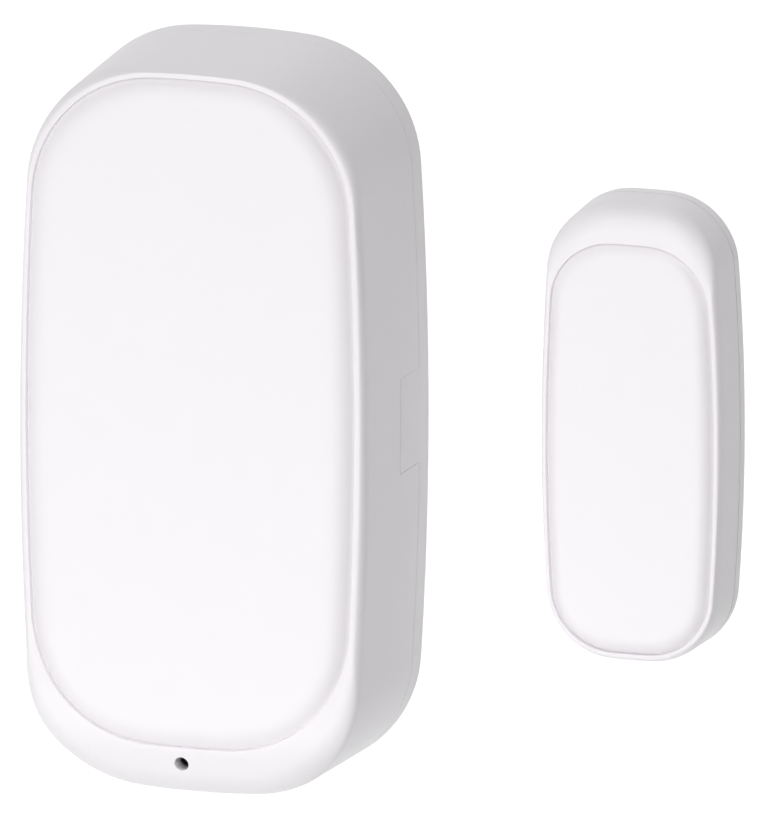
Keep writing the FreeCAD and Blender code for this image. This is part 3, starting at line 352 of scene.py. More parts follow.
# %% Metals
# The slot, the metal, its colour, its roughness, its grain and the height of the grain in millimetres.
METALS = (
    ("screw_steel", "zinc_plated_steel", "#B4B8BD", 0.32, 0.2, 0.004),
    ("contact_nickel", "nickel_plated_strip", "#C9C6BE", 0.24, 0.2, 0.003),
    ("shield_tin", "stamped_tinplate", "#C4C6C8", 0.34, 0.3, 0.004),
    ("reed_lead_metal", "tinned_copper", "#BCBCBA", 0.30, 0.2, 0.003),
    ("switch_steel", "stamped_stainless_steel", "#B7B8BA", 0.28, 0.2, 0.003),
    ("capacitor_aluminium", "drawn_aluminium", "#D2D3D4", 0.28, 0.3, 0.003),
    ("magnet_nickel", "tumbled_nickel_plate", "#BDBBB5", 0.18, 0.4, 0.004),
)
for slot, name, colour, roughness, grain_mm, bump in METALS:
    finishes[slot] = finish(name, colour, roughness, metal=1.0, grain_mm=grain_mm, bump=bump)
print("metals", len(METALS))

# %% [markdown]
# Glass, resin and chips. The reed switch's tube is drawn glass with a green tint, clear enough to see
# the blades. The light's lens is clear epoxy, glossy and faintly yellow. The chips are epoxy filled
# with quartz dust: a dead, dark grey with a grain as fine as 0.1 mm, which is near what can be seen.

# %% Glass, resin and chips
finishes["reed_tube_glass"] = finish("drawn_reed_glass", "#D3EEDB", 0.03, grain_mm=2.0, bump=0.001,
                                     **{"Transmission Weight": 0.92, "IOR": 1.5})
finishes["led_resin"] = finish("clear_cast_epoxy", "#EFEFE0", 0.12, grain_mm=0.5, bump=0.002, IOR=1.52)
finishes["chip_epoxy"] = finish("filled_black_epoxy", "#242528", 0.55, grain_mm=0.1, bump=0.008, tint=0.15)

# %% [markdown]
# Every exact part takes the finish of its own material slot. Most will be hidden by a softer copy, but
# in this way none is left plain, and a copy finds its finish by the same slot.

# %% Finishes on the exact parts
slot_of = {part["node"]: part["material_slot"] for part in frame["record"]["subparts"]}
for name, item in nodes.items():
    item.data.materials.clear()
    item.data.materials.append(finishes[slot_of[name]])
print("finishes", len(finishes))


# %% [markdown]
# The shape of the cases. Both units have the same design. Seen from the front, the outline is eight
# arcs that flow into each other: two slightly bowed sides, two bowed ends and four round corners.
# The walls lean in a little towards the front, as a moulding needs to leave its tool.

# %% Case sizes
# Sizes are in millimetres. A case has its chin at one end, and "far" is the end away from it. Where a
# size is a pair, it is the one at the sides and the one at the far end, and "chin_roll" is how far the
# edge rolls in and back at the chin. "marks" are heights that need a point, for the latch's notch.
SENSOR = {
    "wide": 35.0, "high": 70.0, "rim": 18.3, "corner": 12.0, "side_bow": 380.0, "end_bow": 73.0,
    "wall": 1.6, "parting": 2.95, "plate": 1.8, "chin": 7.6,
    "panel_side": 1.55, "panel_far": 1.08, "panel_chin": 5.45, "panel_corner": 12.2,
    "across": 0.0, "up": 0.0, "turned": False, "marks": (4.4, 4.52),
    "roll_deep": (1.5, 4.0), "chin_roll": (2.4, 2.4), "panel_roll": 5.6, "ring_drop": 0.52,
    "shelf": (0.30, 0.42),
}
MAGNET = {
    "wide": 18.1, "high": 43.7, "rim": 7.4, "corner": 6.8, "side_bow": 207.0, "end_bow": 60.0,
    "wall": 1.3, "parting": 1.75, "plate": 1.1, "chin": 5.2,
    "panel_side": 0.93, "panel_far": 0.95, "panel_chin": 3.85, "panel_corner": 6.0,
    "across": 39.2, "up": 0.8, "turned": True, "marks": (),
    "roll_deep": (1.2, 1.9), "chin_roll": (2.2, 1.9), "panel_roll": 3.6, "ring_drop": 0.25,
    "shelf": (0.24, 0.26),
}
print("cases", SENSOR["wide"], "and", MAGNET["wide"], "mm wide")


# %% [markdown]
# Outlines. A rounded rectangle would be quick, but its straight sides show at once beside the real
# bowed ones. So a quarter is worked out as three arcs: the middle of the corner's arc lies where it
# touches the arc of the side and the arc of the end. The other quarters mirror the first. Each point
# keeps the direction straight out of the outline, which later tells how to draw it in or roll it.

# %% Outlines of arcs
SIDE_STEPS = 18
CORNER_STEPS = 22
END_STEPS = 12
# The arcs of the panel's ends are flatter than the case's: their radius is this many times as large.
PANEL_END_BOW = 1.3


def bowed_outline(half_wide, half_high, corner, side_bow, end_bow, marks=(), shift=0.0):
    """Points of the outline, each with the direction straight out of it, anticlockwise."""
    side_middle = Vector((half_wide - side_bow, 0))
    end_middle = Vector((0, half_high - end_bow))
    apart = end_middle - side_middle
    span = apart.length
    along = (span ** 2 + (side_bow - corner) ** 2 - (end_bow - corner) ** 2) / (2 * span)
    aside = math.sqrt((side_bow - corner) ** 2 - along ** 2)
    ahead = apart / span
    corner_middle = side_middle + ahead * along + Vector((-ahead.y, ahead.x)) * aside
    low = math.atan2(corner_middle.y, corner_middle.x - side_middle.x)
    steep = math.atan2(corner_middle.y - end_middle.y, corner_middle.x)
    turns = [low * step / SIDE_STEPS for step in range(SIDE_STEPS)]
    for mark in marks:
        turn = math.asin(mark / side_bow)
        nearest = min(turns[1:], key=lambda other: abs(other - turn))
        turns[turns.index(nearest)] = turn
        turns.sort()
    quarter = [(side_middle, side_bow, turn) for turn in turns]
    quarter += [(corner_middle, corner, low + (steep - low) * step / CORNER_STEPS)
                for step in range(CORNER_STEPS)]
    quarter += [(end_middle, end_bow, steep + (math.pi / 2 - steep) * step / END_STEPS)
                for step in range(END_STEPS + 1)]
    first = []
    for middle, radius, turn in quarter:
        out = Vector((math.cos(turn), math.sin(turn)))
        first.append((middle + out * radius, out))
    left = [(Vector((-p.x, p.y)), Vector((-n.x, n.y))) for p, n in reversed(first[:-1])]
    under = [(Vector((-p.x, -p.y)), Vector((-n.x, -n.y))) for p, n in first[1:]]
    right = [(Vector((p.x, -p.y)), Vector((n.x, -n.y))) for p, n in reversed(first[1:-1])]
    lift = Vector((0, shift))
    return [(p + lift, n) for p, n in first + left + under + right]


def case_outline(case):
    """The outline of a case at its back."""
    return bowed_outline(case["wide"] / 2, case["high"] / 2, case["corner"], case["side_bow"],
                         case["end_bow"], case["marks"])


def panel_outline(case):
    """The outline of the raised panel on a case's front."""
    high = case["high"] - case["panel_far"] - case["panel_chin"]
    shift = (case["panel_chin"] - case["panel_far"]) / 2
    return bowed_outline(case["wide"] / 2 - case["panel_side"], high / 2, case["panel_corner"],
                         case["side_bow"], case["end_bow"] * PANEL_END_BOW, case["marks"], shift)


print("points in an outline", len(case_outline(SENSOR)), len(panel_outline(MAGNET)))

# %% [markdown]
# Places. The points of a case are thought of in its own front view, with a depth measured from its
# back. These helpers lean the wall in, drop the rim towards the chin, and turn a point of the front
# view into a place in the frame. The magnet's case is the same design turned upside down.

# %% Places in the frame
# The frame's zero is the surface behind the tape, and the cases' backs are this far ahead of it.
BACK = 0.5
# A wall leans in by this much of its height, and by this share less at the far end.
DRAFT = 0.035
STRAIGHTER_END = 0.6
# The rim drops over the first length, and turns into the chin's slope on an arc of the second.
RING_BLEND = 8.0
CHIN_BLEND = 12.0
CHIN_SLOPE = math.radians(17.0)


def eased(share):
    """A share from 0 to 1 that starts and ends gently."""
    return share * share * (3 - 2 * share)


def in_frame(case, point, depth):
    """A point of a case's front view and its depth from the back, as a place in the frame."""
    side = -1 if case["turned"] else 1
    return Vector((case["across"] + side * point.x, -(BACK + depth), case["up"] + side * point.y)) * MM


def lean(out, depth):
    """How far the wall has leaned in at a depth; the far end stands straighter than the rest."""
    return DRAFT * (1 - STRAIGHTER_END * max(out.y, 0) ** 2) * depth


def inset(outline, distance, depth=0.0):
    """The outline drawn in by a distance, at a depth from the back."""
    return [p - n * (distance + lean(n, depth)) for p, n in outline]


def flat_ring(case, points, depth):
    """A ring of points at one depth."""
    return [in_frame(case, point, depth) for point in points]


def chin_front(case, up, offset=0.0):
    """The depth of the rim at a height: it drops a little beside the panel, and more in the chin."""
    start = case["chin"] - case["high"] / 2
    past = start - up
    blend = CHIN_BLEND - offset
    front = case["rim"] - offset
    if past <= 0:
        return front - case["ring_drop"] * eased(min(-past / RING_BLEND, 1))
    curve_end = blend * math.sin(CHIN_SLOPE)
    if past < curve_end:
        return front - (blend - math.sqrt(blend ** 2 - past ** 2))
    return front - blend * (1 - math.cos(CHIN_SLOPE)) - (past - curve_end) * math.tan(CHIN_SLOPE)


print("rim of the sensor at the middle", round(chin_front(SENSOR, 0), 2), "mm from its back")


# %% [markdown]
# Growing a shell. A moulded shell could be a box with bevels, but its outline, chin and pillow-shaped
# panel flow into each other, so it grows from a circle instead: the circle's points are moved onto a
# first outline, and the extrude operator adds ring after ring. The rings run from the middle of the
# panel, over the crease and the rim, down the wall, round its rear edge and up the inside again, so
# the shell is one closed skin with a real wall.

# %% Growing tools
def grow(name, rings):
    """A closed skin through rings of points, grown from a circle with the extrude operator."""
    bpy.ops.object.select_all(action="DESELECT")
    bpy.ops.mesh.primitive_circle_add(vertices=len(rings[0]), radius=MM, fill_type="NOTHING")
    skin = bpy.context.object
    skin.name = name
    bpy.ops.object.mode_set(mode="EDIT")
    mesh = bmesh.from_edit_mesh(skin.data)
    place = mesh.verts.layers.int.new("place")
    for number, vertex in enumerate(mesh.verts):
        vertex[place] = number
        vertex.co = rings[0][number]
    bmesh.update_edit_mesh(skin.data)
    for ring in rings[1:]:
        bpy.ops.mesh.extrude_region_move()
        mesh = bmesh.from_edit_mesh(skin.data)
        place = mesh.verts.layers.int["place"]
        for vertex in mesh.verts:
            if vertex.select:
                vertex.co = ring[vertex[place]]
        bmesh.update_edit_mesh(skin.data)
    bpy.ops.mesh.select_all(action="DESELECT")
    bpy.ops.mesh.select_non_manifold()
    bpy.ops.mesh.fill_holes(sides=0)
    bpy.ops.mesh.select_all(action="SELECT")
    bpy.ops.mesh.normals_make_consistent(inside=False)
    bpy.ops.object.mode_set(mode="OBJECT")
    skin.matrix_world = Matrix.Identity(4)
    return skin


def cut_with(piece, cutter):
    """Cut a piece with another closed mesh, which is then deleted."""
    modifier = piece.modifiers.new("cut", "BOOLEAN")
    modifier.operation = "DIFFERENCE"
    modifier.solver = "EXACT"
    modifier.object = cutter
    bpy.context.view_layer.objects.active = piece
    bpy.ops.object.modifier_apply(modifier="cut")
    bpy.data.objects.remove(cutter)


def box_between(low, high):
    """A box between two corners, in millimetres across, front to back and up."""
    bpy.ops.object.select_all(action="DESELECT")
    bpy.ops.mesh.primitive_cube_add(size=1)
    box = bpy.context.object
    size = (high - low) * MM
    middle = (high + low) / 2 * MM
    box.data.transform(Matrix.Translation(middle) @ Matrix.Diagonal(size).to_4x4())
    return box


# %% Finishing tools
# Edges sharper than the first angle are rounded, and those sharper than the second are shaded sharp.
ROUND_ANGLE = math.radians(40)
SHARP_ANGLE = math.radians(50)


def soften(piece, width_mm, segments=2):
    """Round the sharp edges of a piece a little and shade it smooth, large faces leading."""
    bpy.ops.object.select_all(action="DESELECT")
    piece.select_set(True)
    bpy.context.view_layer.objects.active = piece
    if width_mm:
        modifier = piece.modifiers.new("edge", "BEVEL")
        modifier.width = width_mm * MM
        modifier.segments = segments
        modifier.limit_method = "ANGLE"
        modifier.angle_limit = ROUND_ANGLE
        bpy.ops.object.modifier_apply(modifier="edge")
    bpy.ops.object.shade_smooth_by_angle(angle=SHARP_ANGLE)
    modifier = piece.modifiers.new("shading", "WEIGHTED_NORMAL")
    modifier.keep_sharp = True
    bpy.ops.object.modifier_apply(modifier="shading")


def dress(piece, material_slot, body, *replaced, paint=None):
    """Give a finished piece its material, its body and the parts that it stands for."""
    piece.data.materials.clear()
    piece.data.materials.append(paint or finishes[material_slot])
    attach(piece, body)
    if replaced:
        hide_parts(*replaced)
    print(piece.name, len(piece.data.polygons), "faces")


# %% [markdown]
# The front edge. Round the panel runs a fine crease, then a narrow ledge, and from there the edge
# rolls over into the wall. A bevel would roll the same all the way round. The real edge is slim at the
# sides, deep at the far end, and wide and round at the chin, so the rings of points follow a roll
# whose width and depth change as it goes round.

# %% Front edge
# The width of the crease's outer wall, and the slope that the roll starts with at the sides.
CREASE_WALL = 0.10
EDGE_START = math.radians(4.0)


def edge_roll(case, gap, up, out):
    """How far the front edge rolls in and back, and the slope that it starts from.

    The roll is slim at the sides, deep at the far end and round at the chin, where it starts level.
    """
    smooth = eased(min(max(1 - (up + case["high"] / 2) / case["chin"], 0), 1))
    side_shelf, far_shelf = case["shelf"]
    shelf = side_shelf + (far_shelf - side_shelf) * max(out.y, 0) ** 2
    inward = min(gap - CREASE_WALL - shelf, case["chin_roll"][0])
    side_deep, far_deep = case["roll_deep"]
    deep = side_deep + (far_deep - side_deep) * max(out.y, 0) ** 2
    back = deep + (case["chin_roll"][1] - deep) * smooth
    start = EDGE_START * (1 - smooth)
    return inward, back, start


# %% Rings of the front edge
CREASE_RINGS = 6
LEDGE_RINGS = 5
EDGE_RINGS = 16
CREASE_SINK = 0.42
# A power above 1 crowds the rings towards the bottom of the crease.
CREASE_CROWD = 1.3
# The ledge falls outwards by this much of its width.
LEDGE_TILT = 0.20


def front_profile(case, edge, panel):
    """Rings from the panel's crease outwards over the rim to the straight wall."""
    front_edge = [p - n * lean(n, chin_front(case, p.y)) for p, n in edge]
    panel_edge = [p for p, n in panel]
    gaps = [(a - b).dot(n) for a, b, (p, n) in zip(front_edge, panel_edge, edge)]
    rolls = [edge_roll(case, gap, a.y, n) for gap, a, (p, n) in zip(gaps, front_edge, edge)]
    ends = [roll[0] for roll in rolls]
    insets = []
    for step in range(CREASE_RINGS):
        outside = CREASE_WALL * (step / CREASE_RINGS) ** CREASE_CROWD
        insets.append([gap - outside for gap in gaps])
    for step in range(LEDGE_RINGS):
        share = step / LEDGE_RINGS
        insets.append([(gap - CREASE_WALL) * (1 - share) + end * share for gap, end in zip(gaps, ends)])
    for step in range(EDGE_RINGS + 1):
        ring = []
        for inward, back, start in rolls:
            turn = start + (math.pi / 2 - start) * step / EDGE_RINGS
            ring.append(inward * (1 - math.sin(turn)) / (1 - math.sin(start)))
        insets.append(ring)
    rings = []
    for ring in insets:
        points = []
        for (p, n), a, b, gap, roll, inside in zip(edge, front_edge, panel_edge, gaps, rolls, ring):
            inward, back, start = roll
            point = a.lerp(b, inside / gap)
            depth = chin_front(case, point.y)
            if inside < inward:
                sine = 1 - inside / inward * (1 - math.sin(start))
                depth -= back * (1 - math.sqrt(max(1 - sine ** 2, 0)) / math.cos(start))
            outside = gap - inside
            ledge = min(max(outside - CREASE_WALL, 0), gap - CREASE_WALL - inward)
            depth -= LEDGE_TILT * start / EDGE_START * ledge
            if outside < CREASE_WALL:
                depth -= CREASE_SINK * (1 - outside / CREASE_WALL) ** 2
            point += n * lean(n, chin_front(case, a.y) - depth) * (1 - inside / gap)
            points.append(in_frame(case, point, depth))
        rings.append(points)
    return rings, rolls, front_edge


# %% Rings of a housing
PANEL_RINGS = 12
ROLL_RINGS = 14
WALL_RINGS = 6
INNER_RINGS = 3
CENTRE_SCALE = 0.03
# How far the panel stands above the rim and how much of that is its crown, and the powers by which
# the crown falls from the middle, the rings crowd at the panel's edge, and the edge falls to the crease.
PANEL_RISE = 0.4
PANEL_CROWN = 0.06
CROWN_FALL = 3
ROLL_CROWD = 1.4
PANEL_FALL = 6
# The gap at the parting line between the front and the rear.
SEAM = 0.12


def housing_rings(case):
    """The rings of a front housing, from the middle of its panel to the middle of its inside."""
    edge = case_outline(case)
    panel = panel_outline(case)
    centre = Vector((0, (case["panel_chin"] - case["panel_far"]) / 2))
    top = case["rim"] + PANEL_RISE
    roll_wide = case["panel_roll"]
    rim_rings, rolls, front_edge = front_profile(case, edge, panel)
    rings = []
    roll_edge = inset(panel, roll_wide)
    for step in range(PANEL_RINGS):
        share = CENTRE_SCALE + (1 - CENTRE_SCALE) * step / PANEL_RINGS
        depth = top - PANEL_CROWN * share ** CROWN_FALL
        rings.append(flat_ring(case, [centre + (p - centre) * share for p in roll_edge], depth))
    for step in range(ROLL_RINGS):
        into = roll_wide * (1 - step / ROLL_RINGS) ** ROLL_CROWD
        ring = []
        for p, n in panel:
            low = chin_front(case, p.y) - CREASE_SINK
            high = top - PANEL_CROWN
            fall = (high - low) * (1 - into / roll_wide) ** PANEL_FALL
            ring.append(in_frame(case, p - n * into, high - fall))
        rings.append(ring)
    rings += rim_rings
    rear = case["parting"] + SEAM
    for step in range(1, WALL_RINGS + 1):
        ring = []
        for (p, n), a, (inward, back, start) in zip(edge, front_edge, rolls):
            front = chin_front(case, a.y) - back
            depth = front + (rear - front) * step / WALL_RINGS
            ring.append(in_frame(case, p - n * lean(n, depth), depth))
        rings.append(ring)
    wall = case["wall"]
    rings.append(flat_ring(case, inset(edge, wall, rear), rear))
    for step in range(1, INNER_RINGS + 1):
        ring = []
        for p, n in edge:
            front = chin_front(case, p.y + wall, wall)
            depth = rear + (front - rear) * step / INNER_RINGS
            ring.append(in_frame(case, p - n * (wall + lean(n, depth)), depth))
        rings.append(ring)
    inner_edge = inset(edge, wall, case["rim"])
    for share in (0.9, 0.8, 0.6, 0.3, CENTRE_SCALE):
        ring = []
        for p in inner_edge:
            point = centre + (p - centre) * share
            ring.append(in_frame(case, point, chin_front(case, point.y, wall)))
        rings.append(ring)
    return rings


print("rings of a housing", len(housing_rings(SENSOR)))

# %% [markdown]
# The sensor's housing has two openings: a notch in the rear edge of its right wall for the latch
# tongue, and a pin hole in the chin over the reset switch. Rings could be laid round them, but they
# would pinch the smooth wall, so a box and a cylinder are cut out with the Boolean modifier instead.

# %% Sensor housing
TONGUE_HALF = 4.4
TONGUE_REACH = 8.0
# The notch's cutter reaches from inside the wall to outside it, and out past the rear edge.
NOTCH_ACROSS = (14.2, 20.0)
NOTCH_REAR = -1.0
PIN_HOLE = (-0.9, -17.5, -31.2)
PIN_HOLE_WIDE = 1.35
PIN_HOLE_LONG = 4

sensor_shell = grow("sensor_front_shell", housing_rings(SENSOR))
notch = box_between(Vector((NOTCH_ACROSS[0], -(BACK + TONGUE_REACH + SEAM), -(TONGUE_HALF + SEAM))),
                    Vector((NOTCH_ACROSS[1], NOTCH_REAR, TONGUE_HALF + SEAM)))
cut_with(sensor_shell, notch)
bpy.ops.object.select_all(action="DESELECT")
bpy.ops.mesh.primitive_cylinder_add(vertices=48, radius=PIN_HOLE_WIDE / 2 * MM, depth=PIN_HOLE_LONG * MM)
pin = bpy.context.object
pin.data.transform(Matrix.Translation(Vector(PIN_HOLE) * MM) @ Matrix.Rotation(math.pi / 2, 4, "X"))
cut_with(sensor_shell, pin)
soften(sensor_shell, 0.05)
dress(sensor_shell, "case_abs", "front_case", "sensor_front_housing")

# %% [markdown]
# The magnet's housing is the same design, smaller and upside down, so the same rings make it from its
# own sizes. It has no openings.

# %% Magnet housing
magnet_shell = grow("magnet_front_shell", housing_rings(MAGNET))
soften(magnet_shell, 0.04)
dress(magnet_shell, "case_abs", "magnet_unit", "magnet_front_housing")


# %% [markdown]
# The rear covers are shallow trays with a lip that stands inside the housing. They grow in the same
# way, from the middle of the back to the middle of the tray. The sensor's cover also has a latch
# tongue: the faces of its rim are extruded forward there, into the notch of the housing.

# %% Rings of a rear cover
BACK_ROUND = 0.7
BACK_RINGS = 6
LIP_GAP = 0.1
LIP_WIDE = 0.9
LIP_REACH = 1.8


def cover_rings(case):
    """The rings of a rear cover, from the middle of its back to the middle of its tray."""
    edge = case_outline(case)
    rings = []
    for share in (CENTRE_SCALE, 0.3, 0.6, 0.8, 0.9):
        rings.append(flat_ring(case, [p * share for p in inset(edge, BACK_ROUND)], 0))
    for step in range(BACK_RINGS + 1):
        turn = math.pi / 2 * step / BACK_RINGS
        draw = BACK_ROUND * (1 - math.sin(turn))
        depth = BACK_ROUND * (1 - math.cos(turn))
        rings.append(flat_ring(case, inset(edge, draw, depth), depth))
    parting = case["parting"]
    wall = case["wall"]
    rings.append(flat_ring(case, inset(edge, 0, parting), parting))
    rings.append(flat_ring(case, inset(edge, wall, parting), parting))
    lip = wall + LIP_GAP + DRAFT * (parting + LIP_REACH)
    rings.append(flat_ring(case, inset(edge, lip), parting))
    rings.append(flat_ring(case, inset(edge, lip), parting + LIP_REACH))
    rings.append(flat_ring(case, inset(edge, lip + LIP_WIDE), parting + LIP_REACH))
    rings.append(flat_ring(case, inset(edge, lip + LIP_WIDE), case["plate"]))
    for share in (0.8, 0.6, 0.3, CENTRE_SCALE):
        rings.append(flat_ring(case, [p * share for p in inset(edge, lip + LIP_WIDE)], case["plate"]))
    return rings


print("rings of a cover", len(cover_rings(SENSOR)))

# %% Recess for the tape
PAD_CORNER = 3.0
PAD_SEGMENTS = 12


def bevel_corners(box, width_mm, segments):
    """Bevel the edges of a box that run from its front to its back."""
    bpy.ops.object.select_all(action="DESELECT")
    box.select_set(True)
    bpy.context.view_layer.objects.active = box
    bpy.ops.object.mode_set(mode="EDIT")
    bpy.ops.mesh.select_all(action="DESELECT")
    mesh = bmesh.from_edit_mesh(box.data)
    for edge in mesh.edges:
        along = edge.verts[1].co - edge.verts[0].co
        if abs(along.y) > 0.99 * along.length:
            edge.select_set(True)
    bmesh.update_edit_mesh(box.data)
    bpy.ops.mesh.bevel(offset=width_mm * MM, segments=segments, affect="EDGES")
    bpy.ops.object.mode_set(mode="OBJECT")


def pad_recess(piece, node):
    """Cut the shallow recess that an adhesive pad lies in, a seam wider than the pad."""
    low, high = [Vector(corner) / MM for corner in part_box(node)]
    cutter = box_between(low - Vector((SEAM, 0, SEAM)), high + Vector((SEAM, 2 * SEAM, SEAM)))
    bevel_corners(cutter, PAD_CORNER + SEAM, PAD_SEGMENTS)
    cut_with(piece, cutter)


# %% Sensor cover
sensor_back = grow("sensor_rear_shell", cover_rings(SENSOR))
bpy.ops.object.select_all(action="DESELECT")
sensor_back.select_set(True)
bpy.context.view_layer.objects.active = sensor_back
bpy.ops.object.mode_set(mode="EDIT")
mesh = bmesh.from_edit_mesh(sensor_back.data)
rim_y = -(BACK + SENSOR["parting"]) * MM
# The rim's faces on the right, between the tongue's ends, are the ones that grow forward.
inner_x = (SENSOR["wide"] / 2 - SENSOR["wall"] - 0.2) * MM
for face in mesh.faces:
    middle = face.calc_center_median()
    flat = all(abs(vertex.co.y - rim_y) < 1e-6 for vertex in face.verts)
    face.select_set(flat and middle.x > inner_x and abs(middle.z) < TONGUE_HALF * MM)
bmesh.update_edit_mesh(sensor_back.data)
reach = (TONGUE_REACH - SENSOR["parting"]) * MM
bpy.ops.mesh.extrude_region_move(TRANSFORM_OT_translate={"value": (-DRAFT * reach, -reach, 0)})
bpy.ops.object.mode_set(mode="OBJECT")
pad_recess(sensor_back, "sensor_adhesive_pad")
soften(sensor_back, 0.14, segments=3)
dress(sensor_back, "case_abs", "wall_cover", "sensor_rear_cover")

# %% Magnet cover
magnet_back = grow("magnet_rear_shell", cover_rings(MAGNET))
pad_recess(magnet_back, "magnet_adhesive_pad")
soften(magnet_back, 0.10, segments=3)
dress(magnet_back, "case_abs", "magnet_unit", "magnet_rear_cover")


# %% [markdown]
# Inside the sensor. The exact parts have the right shapes, but their meshes are loose triangles with
# razor edges. Each gets a merged copy: flat triangles are joined to whole faces, the sharp edges are
# rounded by a bevel, and the copy takes the part's place on the same body.

# %% Softened copies
def softened_copy(node, name, edge_mm, join_flat=True):
    """A merged copy of an exact part, with its sharp edges rounded."""
    copy = bpy.data.objects.new(name, nodes[node].data.copy())
    bpy.context.collection.objects.link(copy)
    bpy.ops.object.select_all(action="DESELECT")
    copy.select_set(True)
    bpy.context.view_layer.objects.active = copy
    bpy.ops.object.mode_set(mode="EDIT")
    bpy.ops.mesh.select_all(action="SELECT")
    bpy.ops.mesh.remove_doubles(threshold=1e-7)
    if join_flat:
        bpy.ops.mesh.dissolve_limited(angle_limit=math.radians(0.3))
    bpy.ops.object.mode_set(mode="OBJECT")
    soften(copy, edge_mm)
    return copy


# The exact part, the copy's name, and the width of its rounded edges in millimetres.
COPIES = (
    ("circuit_board", "board", 0.06),
    ("board_screws", "board_screw_set", 0.08),
    ("battery_cradle", "cell_cradle", 0.18),
    ("positive_contact", "positive_plate", 0.08),
    ("radio_module_board", "module_board", 0.05),
    ("radio_shield_can", "shield_can", 0.20),
    ("reset_switch_body", "switch_body", 0.08),
    ("status_led", "led_body", 0.10),
    ("voltage_regulator", "regulator_body", 0.08),
    ("chip_resistors", "chip_resistor_row", 0.05),
    ("reed_blade_upper", "reed_lead_upper", 0.03),
    ("reed_blade_lower", "reed_lead_lower", 0.03),
)
for node, name, edge_mm in COPIES:
    dress(softened_copy(node, name, edge_mm), slot_of[node], "front_case", node)
for node, name in (("negative_spring", "spring_contact"), ("bridge_contact", "cell_bridge"),
                   ("reed_glass", "reed_tube")):
    dress(softened_copy(node, name, 0, join_flat=False), slot_of[node], "front_case", node)
dress(softened_copy("reset_switch_plunger", "plunger", 0.10), "plunger_plastic", "reset_plunger",
      "reset_switch_plunger")
dress(softened_copy("bar_magnet", "magnet_bar", 0.25), "magnet_nickel", "magnet_unit", "bar_magnet")
dress(softened_copy("sensor_adhesive_pad", "sensor_tape", 0.10), "pad_foam", "wall_cover",
      "sensor_adhesive_pad")
dress(softened_copy("magnet_adhesive_pad", "magnet_tape", 0.10), "pad_foam", "magnet_unit",
      "magnet_adhesive_pad")


# %% [markdown]
# The cells. An AAA cell is a steel can in a printed film that shrinks over both ends. The film is
# one turned piece whose ends roll over the rim of the can. The steel shows at both ends: a flat disc
# at the negative end, and a shoulder with the contact stud at the positive end, which are turned too.

# %% Turned pieces
def turned(name, profile, middle, axis, steps=48):
    """A closed round piece through rings, given as pairs of radius and place along the axis."""
    rings = []
    for radius, along in profile:
        ring = []
        for step in range(steps):
            turn = 2 * math.pi * step / steps
            a = radius * math.cos(turn)
            b = radius * math.sin(turn)
            across = {"Y": Vector((b, along, a)), "Z": Vector((a, b, along))}[axis]
            ring.append((middle + across) * MM)
        rings.append(ring)
    return grow(name, rings)


def quarter(radius, along, round_mm, start, steps=5):
    """Points of a quarter round that ends a turned wall, from angle start to start plus 90 degrees."""
    points = []
    for step in range(steps + 1):
        turn = math.radians(start + 90 * step / steps)
        points.append((radius + round_mm * math.cos(turn), along + round_mm * math.sin(turn)))
    return points


# %% Battery cells
CELL_RADIUS = 5.25
CELL_LONG = 43.6
STUD_RADIUS = 1.9
STUD_LONG = 0.9
FILM_ROUND = 0.45
# How wide the film leaves each end open, as a radius, and how far it tucks in there.
OPEN_NEGATIVE = 4.35
OPEN_POSITIVE = 3.55
FILM_TUCK = 0.30


def sleeve_profile():
    """The film from the negative end to the positive end, as radius and height."""
    outer = CELL_RADIUS - FILM_ROUND
    rows = [(OPEN_NEGATIVE, FILM_TUCK), (OPEN_NEGATIVE, 0.03), (outer, 0.0)]
    rows += quarter(outer, FILM_ROUND, FILM_ROUND, -90)[1:]
    rows += [(CELL_RADIUS, CELL_LONG * share) for share in (0.25, 0.5, 0.75)]
    rows += quarter(outer, CELL_LONG - FILM_ROUND, FILM_ROUND, 0)
    rows += [(OPEN_POSITIVE, CELL_LONG), (OPEN_POSITIVE, CELL_LONG - FILM_TUCK)]
    return rows


# The steel can inside the film, from the negative disc over the shoulder to the contact stud.
CAN_PROFILE = [
    (0.05, 0.10), (1.6, 0.10), (1.9, 0.16), (4.25, 0.16), (4.30, 0.45), (4.30, 0.8),
    (3.50, CELL_LONG - 0.5), (3.50, CELL_LONG - 0.22), (3.30, CELL_LONG - 0.12), (2.35, CELL_LONG - 0.12),
    (2.20, CELL_LONG - 0.02), (STUD_RADIUS, CELL_LONG + 0.10), (STUD_RADIUS, CELL_LONG + STUD_LONG - 0.25),
    (STUD_RADIUS - 0.08, CELL_LONG + STUD_LONG - 0.08), (STUD_RADIUS - 0.28, CELL_LONG + STUD_LONG),
    (0.05, CELL_LONG + STUD_LONG),
]
# The exact part, its side, the height of its negative end, and 1 where it points up or -1 where down.
CELLS = (
    ("battery_cell_left", "left", -19.45, 1),
    ("battery_cell_right", "right", 21.45, -1),
)
for node, side, start, upwards in CELLS:
    low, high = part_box(node)
    middle = Vector(((low[0] + high[0]) / 2 / MM, (low[1] + high[1]) / 2 / MM, start))
    sleeve = turned("cell_film_" + side, [(r, upwards * a) for r, a in sleeve_profile()], middle, "Z", 64)
    soften(sleeve, 0)
    dress(sleeve, "cell_sleeve", "front_case", node, paint=films[side])
    can = turned("cell_can_" + side, [(r, upwards * a) for r, a in CAN_PROFILE], middle, "Z", 48)
    soften(can, 0)
    dress(can, "contact_nickel", "front_case")


# %% [markdown]
# The bulk capacitor stands on the back of the board. It is a drawn aluminium can with a rounded
# shoulder and a crimped waist above a black base, so the can is turned and the base is a box whose
# corners are cut off.

# %% Capacitor can
BASE_TALL = 0.8
CAN_INSIDE_BASE = 0.03
SHOULDER = 0.5

